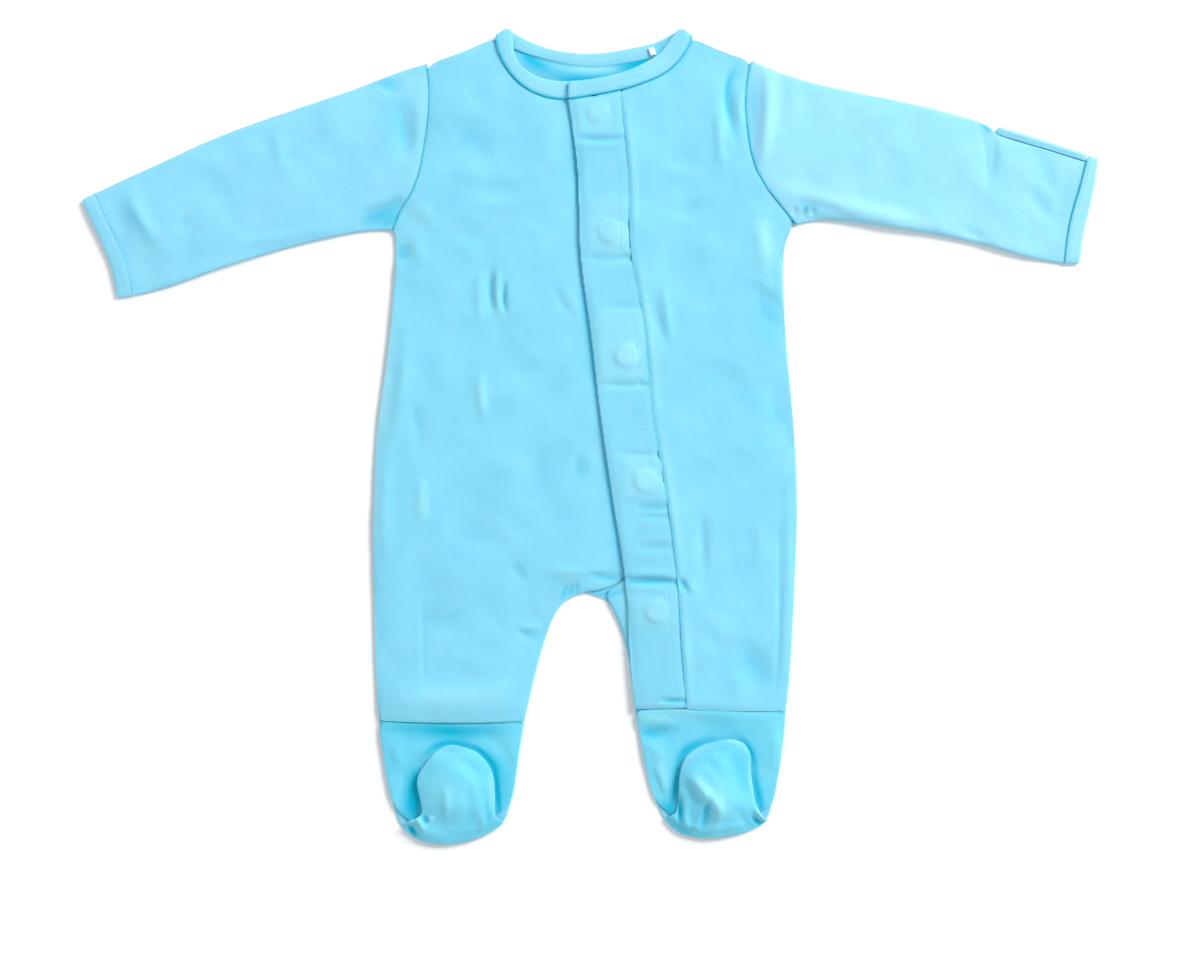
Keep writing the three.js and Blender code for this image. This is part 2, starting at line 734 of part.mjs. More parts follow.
// Pieces
function backPanel() {
  const columns = 8;
  const shoulder = 3;
  const rightShoulder = byLength(RIGHT_SHOULDER);
  const leftShoulder = byLength(LEFT_SHOULDER);
  const neck = (index) => besideNeck(backNeckSewn, backNeckFree, index);
  const rightTop = (share) =>
    share * columns <= shoulder
      ? rightShoulder((share * columns) / shoulder)
      : neck(((share * columns - shoulder) / (columns - shoulder)) * BACK_NECK_CENTRE_ROW);
  const leftTop = (share) => {
    const column = columns - share * columns;
    const neckShare = 1 - (column - shoulder) / (columns - shoulder);
    return column <= shoulder
      ? leftShoulder(1 - column / shoulder)
      : neck(BACK_NECK_CENTRE_ROW * (1 + neckShare));
  };
  const rightHeel = byLength(RIGHT_HEEL);
  const leftHeel = byLength(LEFT_HEEL);
  const downTo = (curve) => (down) => curve(down * HEEL_ROW);
  const right = span(rightTop, rightHeel, downTo(rightSide), downTo(rightBackInner));
  const left = span(leftTop, leftHeel, downTo(leftBackInner), downTo(leftSide));
  const flat = () => CLOTH;
  return wall([grid(right, HEEL_ROW, columns, flat), grid(left, HEEL_ROW, columns, flat)], onSurface);
}

function frontRightPanel() {
  const columns = 12;
  const shoulder = byLength(RIGHT_SHOULDER);
  const top = (share) =>
    share * columns <= SHOULDER_COLUMNS
      ? shoulder((share * columns) / SHOULDER_COLUMNS)
      : besideNeck(
          frontNeckSewn,
          frontNeckFree,
          ((share * columns - SHOULDER_COLUMNS) / (columns - SHOULDER_COLUMNS)) * UNDERLAP_NECK_ROW,
        );
  const seam = byRow(UNDERLAP_SEAM);
  const ankle = straight(rightSide(ANKLE_ROW), seam(ANKLE_ROW), 1.2);
  const plane = span(top, ankle, (down) => rightSide(down * ANKLE_ROW), (down) => seam(down * ANKLE_ROW));
  const heightAt = (x, y, down, across) => {
    const underFly = down * ANKLE_ROW < CROTCH_ROW ? smooth((across - 0.8) / 0.15) : 0;
    return FRONT_TOP + swell(x, y) * (1 - underFly * (1 - UNDERLAP_EASE));
  };
  return wall([grid(plane, ANKLE_ROW, columns, heightAt)], below(CLOTH));
}

function underlapPlacket() {
  const inner = byRow(UNDERLAP_INNER);
  const outer = byRow(UNDERLAP_OUTER);
  const start = UNDERLAP_NECK_ROW + NECK_ROW_GAP;
  const top = (share) =>
    besideNeck(frontNeckSewn, frontNeckFree, start + (UNDERLAP_NECK_END - start) * share);
  const bottom = straight(inner(UNDERLAP_ROWS), outer(UNDERLAP_ROWS));
  const downTo = (curve) => (down) => curve(down * UNDERLAP_ROWS);
  const plane = span(top, bottom, downTo(inner), downTo(outer));
  const heightAt = (x, y) => FRONT_TOP + swell(x, y) * UNDERLAP_EASE;
  return wall([grid(plane, UNDERLAP_ROWS, 3, heightAt)], below(CLOTH));
}

function frontLeftPanel() {
  const columns = 10;
  const neckColumns = columns - SHOULDER_COLUMNS;
  const shoulder = byLength(LEFT_SHOULDER);
  const lastNeckRow = FRONT_NECK.length - 1;
  const top = (share) => {
    const column = share * columns;
    const neckRow = FRONT_NECK_STITCH_ROW + ((lastNeckRow - FRONT_NECK_STITCH_ROW) * column) / neckColumns;
    return column <= neckColumns
      ? besideNeck(frontNeckSewn, frontNeckFree, neckRow)
      : shoulder((column - neckColumns) / SHOULDER_COLUMNS);
  };
  const besideFly = (row) => stitchedLine(row).add(new THREE.Vector3(LAYER_GAP / 2, 0, 0));
  const ankle = straight(besideFly(ANKLE_ROW), leftSide(ANKLE_ROW), 0.8);
  const plane = span(top, ankle, (down) => besideFly(down * ANKLE_ROW), (down) => leftSide(down * ANKLE_ROW));
  const heightAt = (x, y) => FRONT_TOP + swell(x, y) + flyRise(x, y);
  return wall([grid(plane, ANKLE_ROW, columns, heightAt)], below(CLOTH));
}

// The overlap lies on the underlap. Each magnet has a low dome above and a pocket cut from below.
function overlapPlacket() {
  const besideFly = (row) => stitchedLine(row).sub(new THREE.Vector3(LAYER_GAP / 2, 0, 0));
  const neckRows = FRONT_NECK_STITCH_ROW - NECK_ROW_GAP - FRONT_NECK_EDGE_ROW;
  const top = (share) => besideNeck(frontNeckSewn, frontNeckFree, FRONT_NECK_EDGE_ROW + neckRows * share);
  const ankle = straight(overlapEdge(ANKLE_ROW), besideFly(ANKLE_ROW));
  const downTo = (curve) => (down) => curve(down * ANKLE_ROW);
  const plane = span(top, ankle, downTo(overlapEdge), downTo(besideFly));
  const heightAt = (x, y) => FRONT_TOP + swell(x, y) + FLY_RISE;
  let band = solidOf(wall([grid(plane, ANKLE_ROW, 4, heightAt)], below(DOUBLED)));
  for (const magnet of MAGNETS) {
    const face = heightAt(magnet.x, magnet.y);
    const dome = disc(DOME.radius, DOUBLED / 2 + DOME.rise, DOME.chamfer);
    const pocket = disc(MAGNET.radius + MAGNET.clearance, DOUBLED + MAGNET.pocketDepth, POCKET_CHAMFER);
    dome.translate(magnet.x, magnet.y, face - DOUBLED / 2);
    pocket.translate(magnet.x, magnet.y, face - 2 * DOUBLED);
    band = band.add(solidOf(dome)).subtract(solidOf(pocket));
  }
  return geometryFrom(band);
}

function magnetDisc({ x, y }) {
  const underside = FRONT_TOP + swell(x, y) + FLY_RISE - DOUBLED;
  const body = new THREE.CylinderGeometry(MAGNET.radius, MAGNET.radius, MAGNET.height, MAGNET.sides);
  return body.rotateX(Math.PI / 2).translate(x, y, underside + MAGNET.height / 2);
}

// A strip between the sewn line and the free edge, a little fuller along its middle
function neckBinding(rows, from, to, sections, apexes, heightAt) {
  const sewn = byIndex(rows, "sewnX", "sewnY");
  const free = byIndex(rows, "freeX", "freeY");
  const bulge = (apex, start, end) => (apex ? byLength([start, apex, end]) : straight(start, end));
  const at = (down) => from + (to - from) * down;
  const first = bulge(apexes.first, sewn(from), free(from));
  const last = bulge(apexes.last, sewn(to), free(to));
  const plane = span(first, last, (down) => sewn(at(down)), (down) => free(at(down)));
  const padded = (x, y, down, across) =>
    heightAt(x, y, at(down)) + BINDING_FULLNESS * Math.sin(Math.PI * across);
  return wall([grid(plane, sections, 4, padded)], below(DOUBLED));
}

function liftAt(rows, index) {
  const lower = Math.min(Math.floor(index), rows.length - 2);
  return THREE.MathUtils.lerp(rows[lower].lift, rows[lower + 1].lift, index - lower);
}

const BINDING_TOP = FRONT_TOP + BINDING_PROUD;

function frontNeckRight() {
  const heightAt = (x, y, row) => {
    const underFly = smooth(row - FRONT_NECK_EDGE_ROW + 1);
    return BINDING_TOP + swell(x, y) * (1 - underFly * (1 - UNDERLAP_EASE)) + liftAt(FRONT_NECK, row);
  };
  return neckBinding(FRONT_NECK, 0, FRONT_NECK_STITCH_ROW - 0.3, 16, { first: NECK_APEXES.right }, heightAt);
}

function frontNeckLeft() {
  const heightAt = (x, y, row) => {
    const onFly = 1 - smooth((row - FRONT_NECK_STITCH_ROW - 0.2) / 2.4);
    return BINDING_TOP + swell(x, y) + liftAt(FRONT_NECK, row) + FLY_RISE * onFly;
  };
  const lastRow = FRONT_NECK.length - 1;
  return neckBinding(FRONT_NECK, FRONT_NECK_EDGE_ROW, lastRow, 14, { last: NECK_APEXES.left }, heightAt);
}

function backNeck() {
  return neckBinding(BACK_NECK, 0, BACK_NECK.length - 1, 20, {}, () => DOUBLED);
}

function sleeve(rows, cuffRows, armhole, side) {
  const shift = side * ARMHOLE_GAP;
  const last = rows.length - 1;
  const upper = byIndex(rows, "upperX", "upperY");
  const under = byIndex(rows, "underX", "underY");
  const moved = (curve) => (share) => curve(share).add(new THREE.Vector3(shift, 0, 0));
  const cuff = straight(upper(last), under(last));
  const sewn = byIndex(cuffRows, "sewnX", "sewnY");
  const bow = (share) => {
    const line = cuff(share);
    const chord = straight(sewn(0), sewn(cuffRows.length - 1))(share);
    const point = sewn(share * (cuffRows.length - 1));
    return { x: line.x + point.x - chord.x + shift, y: line.y + point.y - chord.y };
  };
  const plane = span(
    moved(armhole),
    bow,
    (down) => moved(upper)(down * last),
    (down) => moved(under)(down * last),
  );
  return flatTube(plane, 2 * last, ARMHOLE_ROWS, FRONT_TOP, CLOTH, swell);
}

function cuffBinding(rows, side) {
  const last = rows.length - 1;
  const sewn = byIndex(rows, "sewnX", "sewnY");
  const edge = byIndex(rows, "edgeX", "edgeY");
  const shift = new THREE.Vector3(side * (ARMHOLE_GAP + LAYER_GAP), 0, 0);
  const start = (share) => sewn(share * last).add(shift);
  const end = (share) => edge(share * last);
  const plane = span(start, end, straight(start(0), end(0)), straight(start(1), end(1)));
  return flatTube(plane, 2, ARMHOLE_ROWS, FRONT_TOP + CUFF_PROUD, CLOTH + 0.2, swell);
}

function mittenFlap() {
  const inner = byIndex(MITTEN_FLAP, "innerX", "innerY");
  const outer = byIndex(MITTEN_FLAP, "outerX", "outerY");
  const shift = new THREE.Vector3(ARMHOLE_GAP, LAYER_GAP, 0);
  const low = (down) => inner(2 * down).add(shift);
  const high = (down) => outer(2 * down).add(shift);
  const plane = span(straight(low(0), high(0)), straight(low(1), high(1)), low, high);
  const roundTop = (x, y, down, across) => FRONT_TOP - FLAP_EDGE_DROP + Math.sin(Math.PI * across);
  return wall([grid(plane, 8, 4, roundTop)], onSurface);
}

// The layers of a foot all follow the swell of the leg's end, which fades below the ankle seam
function footSwell(x, y, seamY) {
  return swell(x, y) * (1 - smooth((seamY - y) / FOOT_FADE));
}

function tongueCrown(share, across) {
  const lengthways = smooth(share / 0.3) * (1 - 0.75 * smooth((share - 0.55) / 0.45));
  return TONGUE_CROWN * lengthways * (1 - (2 * across - 1) ** 2);
}

function movedDown(curve, distance) {
  return (share) => {
    const { x, y } = curve(share);
    return { x, y: y - distance };
  };
}

const rightAnkle = movedDown(straight(rightSide(ANKLE_ROW), rightInseam(ANKLE_ROW), 1.2), ANKLE_GAP);
const leftAnkle = movedDown(byLength(LEFT_ANKLE), ANKLE_GAP);

// The upper runs down from the ankle seam over the full leg, turns back above the heel and
// runs up again inside the tongue. Its grid follows the face that is outermost at that turn.
function footUpper(side, inseam, ankle, heelPoints, tongueRows, reversed) {
  const columns = 10;
  const [first, last] = [2, 8];
  const outline = (row) => (reversed ? [inseam(row), side(row)] : [side(row), inseam(row)]);
  const heel = byLength(heelPoints);
  const start = ANKLE_ROW + 0.05;
  const seamY = side(ANKLE_ROW).y;
  const rowAt = (down) => start + (HEEL_ROW - 1 - start) * down;
  const left = (down) => outline(rowAt(down))[0];
  const right = (down) => outline(rowAt(down))[1];
  const turn = (share) => {
    const point = heel(share);
    const ends = Math.min(share, 1 - share) * 5;
    const lift = HEEL_TUCK + (left(1).y - heel(0).y - HEEL_TUCK) * (1 - smooth(ends));
    return { x: THREE.MathUtils.lerp(left(1).x, right(1).x, share), y: point.y + lift };
  };
  const plane = span(ankle, turn, left, right);
  const tongueLeft = byIndex(tongueRows, "leftX", "leftY");
  const tongueRight = byIndex(tongueRows, "rightX", "rightY");
  const width = right(1).x - left(1).x;
  const baseLeft = (tongueLeft(0).x - left(1).x) / width;
  const baseRight = (tongueRight(0).x - left(1).x) / width;
  const baseShare = (column) => {
    if (column <= first) return (baseLeft * column) / first;
    if (column >= last) return baseRight + ((1 - baseRight) * (column - last)) / (columns - last);
    return baseLeft + ((baseRight - baseLeft) * (column - first)) / (last - first);
  };
  const underside = (x, y) => CLOTH + LAYER_GAP + footSwell(x, y, seamY);
  const rows = 5;
  const lower = Array.from({ length: rows + 1 }, (_, row) =>
    Array.from({ length: columns + 1 }, (__, column) => {
      const share = THREE.MathUtils.lerp(column / columns, baseShare(column), row / rows);
      const { x, y } = plane(row / rows, share);
      return new THREE.Vector3(x, y, underside(x, y));
    }),
  );
  const foldHeight = 2 * CLOTH + LAYER_GAP;
  const fold = lower[rows].slice(first, last + 1);
  const turned = [0, 45, 90, 135, 180].map((angle) => {
    const radians = THREE.MathUtils.degToRad(angle);
    const drop = (foldHeight / 2) * Math.sin(radians);
    const rise = (foldHeight / 2) * (1 - Math.cos(radians));
    return fold.map(({ x, y, z }) => new THREE.Vector3(x, y - drop, z + rise));
  });
  const lastTongue = tongueRows.length - 1;
  const base = (share) => {
    const place = share * (last - first);
    const index = Math.min(Math.floor(place), last - first - 1);
    return fold[index].clone().lerp(fold[index + 1], place - index);
  };
  const up = span(
    base,
    straight(tongueLeft(lastTongue), tongueRight(lastTongue)),
    (down) => tongueLeft(down * lastTongue),
    (down) => tongueRight(down * lastTongue),
  );
  const upperHeight = (x, y, down, across) =>
    underside(x, y) + foldHeight + INNER_CROWN * tongueCrown(down, across);
  const upper = grid(up, 8, last - first, upperHeight);
  upper[0] = turned[turned.length - 1];
  return wall([lower, turned, upper], behind(-CLOTH));
}

// The sole starts at the heel edge of the back, rises over the folded upper and ends at the toe
function sole(heelPoints, points, tongueRows, seamY) {
  const heel = byLength(heelPoints);
  const heelLine = samples(heel, 0, 1, HEEL_SAMPLES);
  const leftRows = [
    heel(0),
    points.heelLeft,
    ...tongueRows.map((row) => ({ x: row.leftX - SOLE_REACH, y: row.leftY + SOLE_REACH })),
  ];
  const rightRows = [
    heel(1),
    points.heelRight,
    ...tongueRows.map((row) => ({ x: row.rightX + SOLE_REACH, y: row.rightY + SOLE_REACH })),
  ];
  const last = leftRows.length - 1;
  const left = byIndex(leftRows, "x", "y");
  const right = byIndex(rightRows, "x", "y");
  const toe = byLength([left(last), points.toe, right(last)]);
  const plane = span(toe, heel, (down) => left(last * (1 - down)), (down) => right(last * (1 - down)));
  const heightAt = (x, y, down, across) => {
    const up = smooth(distanceToLine(x, y, heelLine) / SOLE_RUN);
    const share = Math.max(0, (1 - down) * last - 2) / (last - 2);
    return FRONT_TOP + SOLE_RISE * up + tongueCrown(share, across) * up + footSwell(x, y, seamY);
  };
  return wall([grid(plane, 2 * last, 10, heightAt)], behind(CLOTH));
}

function labelTab() {
  const { width, length, height, turn, x, y, z } = LABEL_TAB;
  const tab = new THREE.BoxGeometry(width, length, height);
  return tab.rotateZ(THREE.MathUtils.degToRad(turn)).translate(x, y, z);
}

const garment = new THREE.Group();

function addPiece(name, geometry, finish = AQUA) {
  const mesh = new THREE.Mesh(geometry, new THREE.MeshStandardMaterial(finish));
  mesh.name = name;
  garment.add(mesh);
}

addPiece("back_panel", backPanel());
addPiece("front_right_panel", frontRightPanel());
addPiece("front_left_panel", frontLeftPanel());
addPiece("underlap_placket", underlapPlacket());
addPiece("overlap_placket", overlapPlacket());
MAGNETS.forEach((magnet, index) => addPiece(`magnet_${index + 1}`, magnetDisc(magnet), MAGNET_FINISH));
addPiece("neck_binding_front_right", frontNeckRight());
addPiece("neck_binding_front_left", frontNeckLeft());
addPiece("neck_binding_back", backNeck());
addPiece("sleeve_right", sleeve(RIGHT_SLEEVE, RIGHT_CUFF, rightArmhole, -1));
addPiece("sleeve_left", sleeve(LEFT_SLEEVE, LEFT_CUFF, leftArmhole, 1));
addPiece("cuff_binding_right", cuffBinding(RIGHT_CUFF, -1));
addPiece("cuff_binding_left", cuffBinding(LEFT_CUFF, 1));
addPiece("mitten_flap", mittenFlap());
addPiece("foot_upper_right", footUpper(rightSide, rightInseam, rightAnkle, RIGHT_HEEL, RIGHT_TONGUE, false));
addPiece("foot_upper_left", footUpper(leftSide, leftInseam, leftAnkle, LEFT_HEEL, LEFT_TONGUE, true));
addPiece("sole_right", sole(RIGHT_HEEL, SOLE_POINTS.right, RIGHT_TONGUE, rightSide(ANKLE_ROW).y));
addPiece("sole_left", sole(LEFT_HEEL, SOLE_POINTS.left, LEFT_TONGUE, leftSide(ANKLE_ROW).y));
addPiece("label_tab", labelTab(), RIBBON);

// The origin is under the middle of the garment's box, on the surface it lies on
const box = new THREE.Box3().setFromObject(garment, true);
const middle = box.getCenter(new THREE.Vector3());
garment.position.set(-middle.x, -middle.y, -box.min.z);

export default garment;
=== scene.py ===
import math
import bpy
import numpy as np
from mathutils import Matrix, Vector
from mathutils.bvhtree import BVHTree


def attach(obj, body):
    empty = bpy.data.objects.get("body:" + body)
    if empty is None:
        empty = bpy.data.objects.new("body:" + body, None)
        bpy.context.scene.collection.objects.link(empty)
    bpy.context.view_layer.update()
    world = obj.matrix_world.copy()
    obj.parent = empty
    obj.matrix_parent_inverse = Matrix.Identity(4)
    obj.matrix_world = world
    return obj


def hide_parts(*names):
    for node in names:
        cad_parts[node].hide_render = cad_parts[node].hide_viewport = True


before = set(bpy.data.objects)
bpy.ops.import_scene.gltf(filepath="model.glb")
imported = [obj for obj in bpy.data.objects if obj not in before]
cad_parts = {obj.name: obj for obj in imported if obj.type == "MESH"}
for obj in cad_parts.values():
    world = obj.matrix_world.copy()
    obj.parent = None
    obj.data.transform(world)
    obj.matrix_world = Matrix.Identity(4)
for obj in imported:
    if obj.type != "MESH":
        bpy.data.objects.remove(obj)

# Baby pajamas laid flat. Lengths in the tables are millimetres, in the frame of the solids:
# +X to the wearer's left sleeve, +Y to the neck, +Z up out of the front.
mm = 0.001
scene = bpy.context.scene
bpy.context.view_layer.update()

# ---- camera, floor and light
shot = {"aim": (1.2, -28.2), "height": 1400, "lens": 77.4, "clipStart": 0.05}

aimX, aimY = shot["aim"]
bpy.ops.object.camera_add(location=(aimX * mm, aimY * mm, shot["height"] * mm), rotation=(0, 0, 0))
camera = bpy.context.active_object
camera.name = "overheadCamera"
camera.data.lens = shot["lens"]
camera.data.clip_start = shot["clipStart"]
scene.camera = camera

studio = {
    "floor": "#FBFDFE",
    "floorSize": 6,
    "floorDrop": 0.2,  # below the cloth, so that the two never share a plane
    "world": "#FFFFFF",
    "worldPower": 0.52,
    "keyPower": 182.0,
    "keyPlace": (2.60, 2.35, 2.42),
    "keySize": 2.0,
    "fillPower": 20.0,
    "fillPlace": (-2.4, -1.4, 2.6),
    "fillSize": 3.0,
}


def linearColour(hexText):
    channels = [int(hexText[i:i + 2], 16) / 255 for i in (1, 3, 5)]
    return [c / 12.92 if c <= 0.04045 else ((c + 0.055) / 1.055) ** 2.4 for c in channels] + [1.0]


def addNode(tree, kind, settings=None, inputs=None):
    made = tree.nodes.new(kind)
    for name, value in (settings or {}).items():
        setattr(made, name, value)
    for name, value in (inputs or {}).items():
        socket = made.inputs[name]
        if isinstance(value, bpy.types.NodeSocket):
            tree.links.new(value, socket)
        else:
            socket.default_value = value
    return made


def newMaterial(name):
    material = bpy.data.materials.new(name)
    material.use_nodes = True
    material.node_tree.nodes.clear()
    return material, material.node_tree


def finishMaterial(tree, shader):
    addNode(tree, "ShaderNodeOutputMaterial", {}, {"Surface": shader.outputs["BSDF"]})


bpy.ops.object.select_all(action="DESELECT")
bpy.ops.mesh.primitive_plane_add(size=studio["floorSize"], location=(0, 0, -studio["floorDrop"] * mm))
floor = bpy.context.active_object
floor.name = "studioFloor"
floorPaint, tree = newMaterial("matt white paper")      # a studio's paper roll, no gloss at all
paper = addNode(tree, "ShaderNodeBsdfPrincipled", {}, {
    "Base Color": linearColour(studio["floor"]), "Roughness": 0.95, "Specular IOR Level": 0.1})
finishMaterial(tree, paper)
floor.data.materials.append(floorPaint)


def softbox(name, place, size, power):
    bpy.ops.object.light_add(type="AREA", location=place)
    lamp = bpy.context.active_object
    lamp.name = name
    lamp.data.shape = "DISK"
    lamp.data.size = size
    lamp.data.energy = power
    lamp.rotation_euler = (-Vector(place)).to_track_quat("-Z", "Y").to_euler()


softbox("keySoftbox", studio["keyPlace"], studio["keySize"], studio["keyPower"])
softbox("fillSoftbox", studio["fillPlace"], studio["fillSize"], studio["fillPower"])
world = bpy.data.worlds.new("paleStudio")
scene.world = world
world.use_nodes = True
sky = world.node_tree.nodes["Background"]
sky.inputs["Color"].default_value = linearColour(studio["world"])
sky.inputs["Strength"].default_value = studio["worldPower"]
scene.view_settings.view_transform = "Standard"
scene.view_settings.look = "None"
print("camera, floor and light are set")

# ---- cloth finishes
jersey = {
    # the pieces' shades carry painted light and shade: the left sleeve is a lighter copy of the body's jersey where
    # more key light falls, the feet a darker one where less falls
    "body": ("#8AD7EF", "#84D4EE"),
    "leftSleeve": ("#9BDCF4", "#95DAF3"),
    "rightSleeve": ("#91D9F2", "#8BD6F1"),
    "foot": ("#7DD9F0", "#70D2ED"),
    "binding": ("#92DAF1", "#8AD6EF"),
    # painted shade: the colour given to folds, seams and cast shadows
    "paintedShade": "#02BADC",
    # painted highlight on crests, and also the cloth's own paleness over the magnets and patches
    "pale": "#ACE8F8",
    "wale": 1.1,  # real wales are 0.8 mm apart, drawn a little coarser so that they show
    "course": 0.9,
    "relief": 0.05,  # height of the loops, and of the brushed bloom on them
    "fluff": 0.11,
    "clouds": 0.055,  # slow unevenness of the yarn's colour, in waves to each millimetre
    "tintFrom": 0.38,
    "tintTo": 0.60,
    "soak": 0.5,  # how far light soaks into the cloth
}


def jerseyMaterial(name, grain, shades, relief=1.0):
    # cotton interlock jersey, circular knitted and soft brushed: matt, with a fine vertical rib, a pale bloom,
    # and thin enough for a little light to soak through, so its folds are deep blue and never black
    material, tree = newMaterial(name)
    colour, deep = shades
    place = addNode(tree, "ShaderNodeTexCoord")
    turned = addNode(tree, "ShaderNodeMapping", {}, {
        "Vector": place.outputs["Object"], "Rotation": (0, 0, math.radians(-grain)), "Scale": (1000, 1000, 1000)})
    unevenness = addNode(tree, "ShaderNodeTexNoise", {}, {
        "Vector": turned.outputs["Vector"], "Scale": jersey["clouds"], "Detail": 4.0, "Roughness": 0.55})
    streak = addNode(tree, "ShaderNodeMapping", {}, {
        "Vector": turned.outputs["Vector"], "Scale": (1.0, 0.3, 1.0)})
    streaks = addNode(tree, "ShaderNodeTexNoise", {}, {
        "Vector": streak.outputs["Vector"], "Scale": 0.5, "Detail": 2.0, "Roughness": 0.6})
    blend = addNode(tree, "ShaderNodeMix", {"data_type": "FLOAT"}, {
        "Factor": 0.22, "A": unevenness.outputs["Fac"], "B": streaks.outputs["Fac"]})
    tint = addNode(tree, "ShaderNodeValToRGB", {}, {"Fac": blend.outputs["Result"]})
    tint.color_ramp.elements[0].position = jersey["tintFrom"]
    tint.color_ramp.elements[0].color = linearColour(deep)
    tint.color_ramp.elements[1].position = jersey["tintTo"]
    tint.color_ramp.elements[1].color = linearColour(colour)
    # painted shade: deep folds, seams and shadowed edges get the full dark cyan, and painted highlight: crests get the
    # pale colour, which over the magnets and stiff patches is also the cloth's own paleness
    shade = tint.outputs["Color"]
    for painted in ("paintedShade", "pale"):
        amount = addNode(tree, "ShaderNodeAttribute", {"attribute_name": painted})
        mixed = addNode(tree, "ShaderNodeMix", {"data_type": "RGBA"})
        tree.links.new(amount.outputs["Fac"], mixed.inputs["Factor"])
        tree.links.new(shade, mixed.inputs[6])
        mixed.inputs[7].default_value = linearColour(jersey[painted])
        shade = mixed.outputs[2]
    wales = addNode(tree, "ShaderNodeTexWave", {"bands_direction": "X"}, {
        "Vector": turned.outputs["Vector"], "Scale": 0.314 / jersey["wale"], "Distortion": 0.6, "Detail": 1.0,
        "Detail Scale": 0.4})
    courses = addNode(tree, "ShaderNodeTexWave", {"bands_direction": "Y"}, {
        "Vector": turned.outputs["Vector"], "Scale": 0.314 / jersey["course"], "Distortion": 1.2, "Detail": 1.0,
        "Detail Scale": 0.5})
    loops = addNode(tree, "ShaderNodeMix", {"data_type": "FLOAT"}, {
        "Factor": 0.35, "A": wales.outputs["Fac"], "B": courses.outputs["Fac"]})
    knit = addNode(tree, "ShaderNodeBump", {}, {
        "Strength": 0.45 * relief, "Distance": jersey["relief"] * mm, "Height": loops.outputs["Result"]})
    fibres = addNode(tree, "ShaderNodeTexNoise", {}, {
        "Vector": turned.outputs["Vector"], "Scale": 0.5, "Detail": 4.0, "Roughness": 0.7})
    bloom = addNode(tree, "ShaderNodeBump", {}, {
        "Strength": 0.6 * relief, "Distance": jersey["fluff"] * mm, "Height": fibres.outputs["Fac"],
        "Normal": knit.outputs["Normal"]})
    cotton = addNode(tree, "ShaderNodeBsdfPrincipled", {}, {
        "Base Color": shade, "Roughness": 0.92, "Specular IOR Level": 0.15, "Sheen Weight": 0.10,
        "Sheen Roughness": 0.45, "Sheen Tint": linearColour("#E6FAFF"), "Normal": bloom.outputs["Normal"],
        "Subsurface Weight": 0.4, "Subsurface Radius": (0.15, 1.0, 1.3),
        "Subsurface Scale": jersey["soak"] * mm})
    finishMaterial(tree, cotton)
    return material


bodyJersey = jerseyMaterial("cotton jersey, body", 0, jersey["body"])
rightSleeveJersey = jerseyMaterial("cotton jersey, right sleeve", -66, jersey["rightSleeve"])
litLeftSleeveJersey = jerseyMaterial("cotton jersey, left sleeve", 72, jersey["leftSleeve"])
shadedFootJersey = jerseyMaterial("cotton jersey, feet", 0, jersey["foot"])
bindingJersey = jerseyMaterial("cotton jersey, binding", 90, jersey["binding"], 0.7)


def threadMaterial(name, colour, gloss):
    # spun polyester sewing thread, coloured to match: a little smoother than the cloth
    material, tree = newMaterial(name)
    place = addNode(tree, "ShaderNodeTexCoord")
    ply = addNode(tree, "ShaderNodeTexNoise", {}, {
        "Vector": place.outputs["Object"], "Scale": 2600.0, "Detail": 2.0})
    twist = addNode(tree, "ShaderNodeBump", {}, {
        "Strength": 0.4, "Distance": 0.05 * mm, "Height": ply.outputs["Fac"]})
    thread = addNode(tree, "ShaderNodeBsdfPrincipled", {}, {
        "Base Color": linearColour(colour), "Roughness": gloss, "Sheen Weight": 0.2, "Normal": twist.outputs["Normal"]})
    finishMaterial(tree, thread)
    return material


# the aqua thread is darker than the cloth, as painted shade where the stitches sink into it
seamThread = threadMaterial("polyester thread, aqua", "#78D2EE", 0.6)
paleThread = threadMaterial("polyester thread, pale aqua", "#A6E4F8", 0.55)


def ribbonMaterial():
    # woven satin ribbon: pale, with a fine even weave and a soft gloss
    material, tree = newMaterial("woven polyester ribbon")
    place = addNode(tree, "ShaderNodeTexCoord")
    weave = addNode(tree, "ShaderNodeTexWave", {"bands_direction": "X"}, {
        "Vector": place.outputs["Object"], "Scale": 700.0, "Distortion": 0.2})
    grain = addNode(tree, "ShaderNodeBump", {}, {
        "Strength": 0.3, "Distance": 0.05 * mm, "Height": weave.outputs["Fac"]})
    ribbon = addNode(tree, "ShaderNodeBsdfPrincipled", {}, {
        "Base Color": linearColour("#E9F4FA"), "Roughness": 0.5, "Normal": grain.outputs["Normal"]})
    finishMaterial(tree, ribbon)
    return material


def magnetMaterial():
    # moulded PVC casing of a sew-in magnet: pale and smooth, with a faint uneven bloom where it was tumbled
    material, tree = newMaterial("moulded PVC casing")
    place = addNode(tree, "ShaderNodeTexCoord")
    rubbed = addNode(tree, "ShaderNodeTexNoise", {}, {
        "Vector": place.outputs["Object"], "Scale": 450.0, "Detail": 3.0})
    wear = addNode(tree, "ShaderNodeMapRange", {}, {"Value": rubbed.outputs["Fac"], "To Min": 0.38, "To Max": 0.56})
    casing = addNode(tree, "ShaderNodeBsdfPrincipled", {}, {
        "Base Color": linearColour("#ECF8FB"), "Roughness": wear.outputs["Result"], "Specular IOR Level": 0.4})
    finishMaterial(tree, casing)
    return material


magnetCasing = magnetMaterial()
for number in range(1, 6):
    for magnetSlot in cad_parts[f"magnet_{number}"].material_slots:
        magnetSlot.material = magnetCasing
print("materials are made")

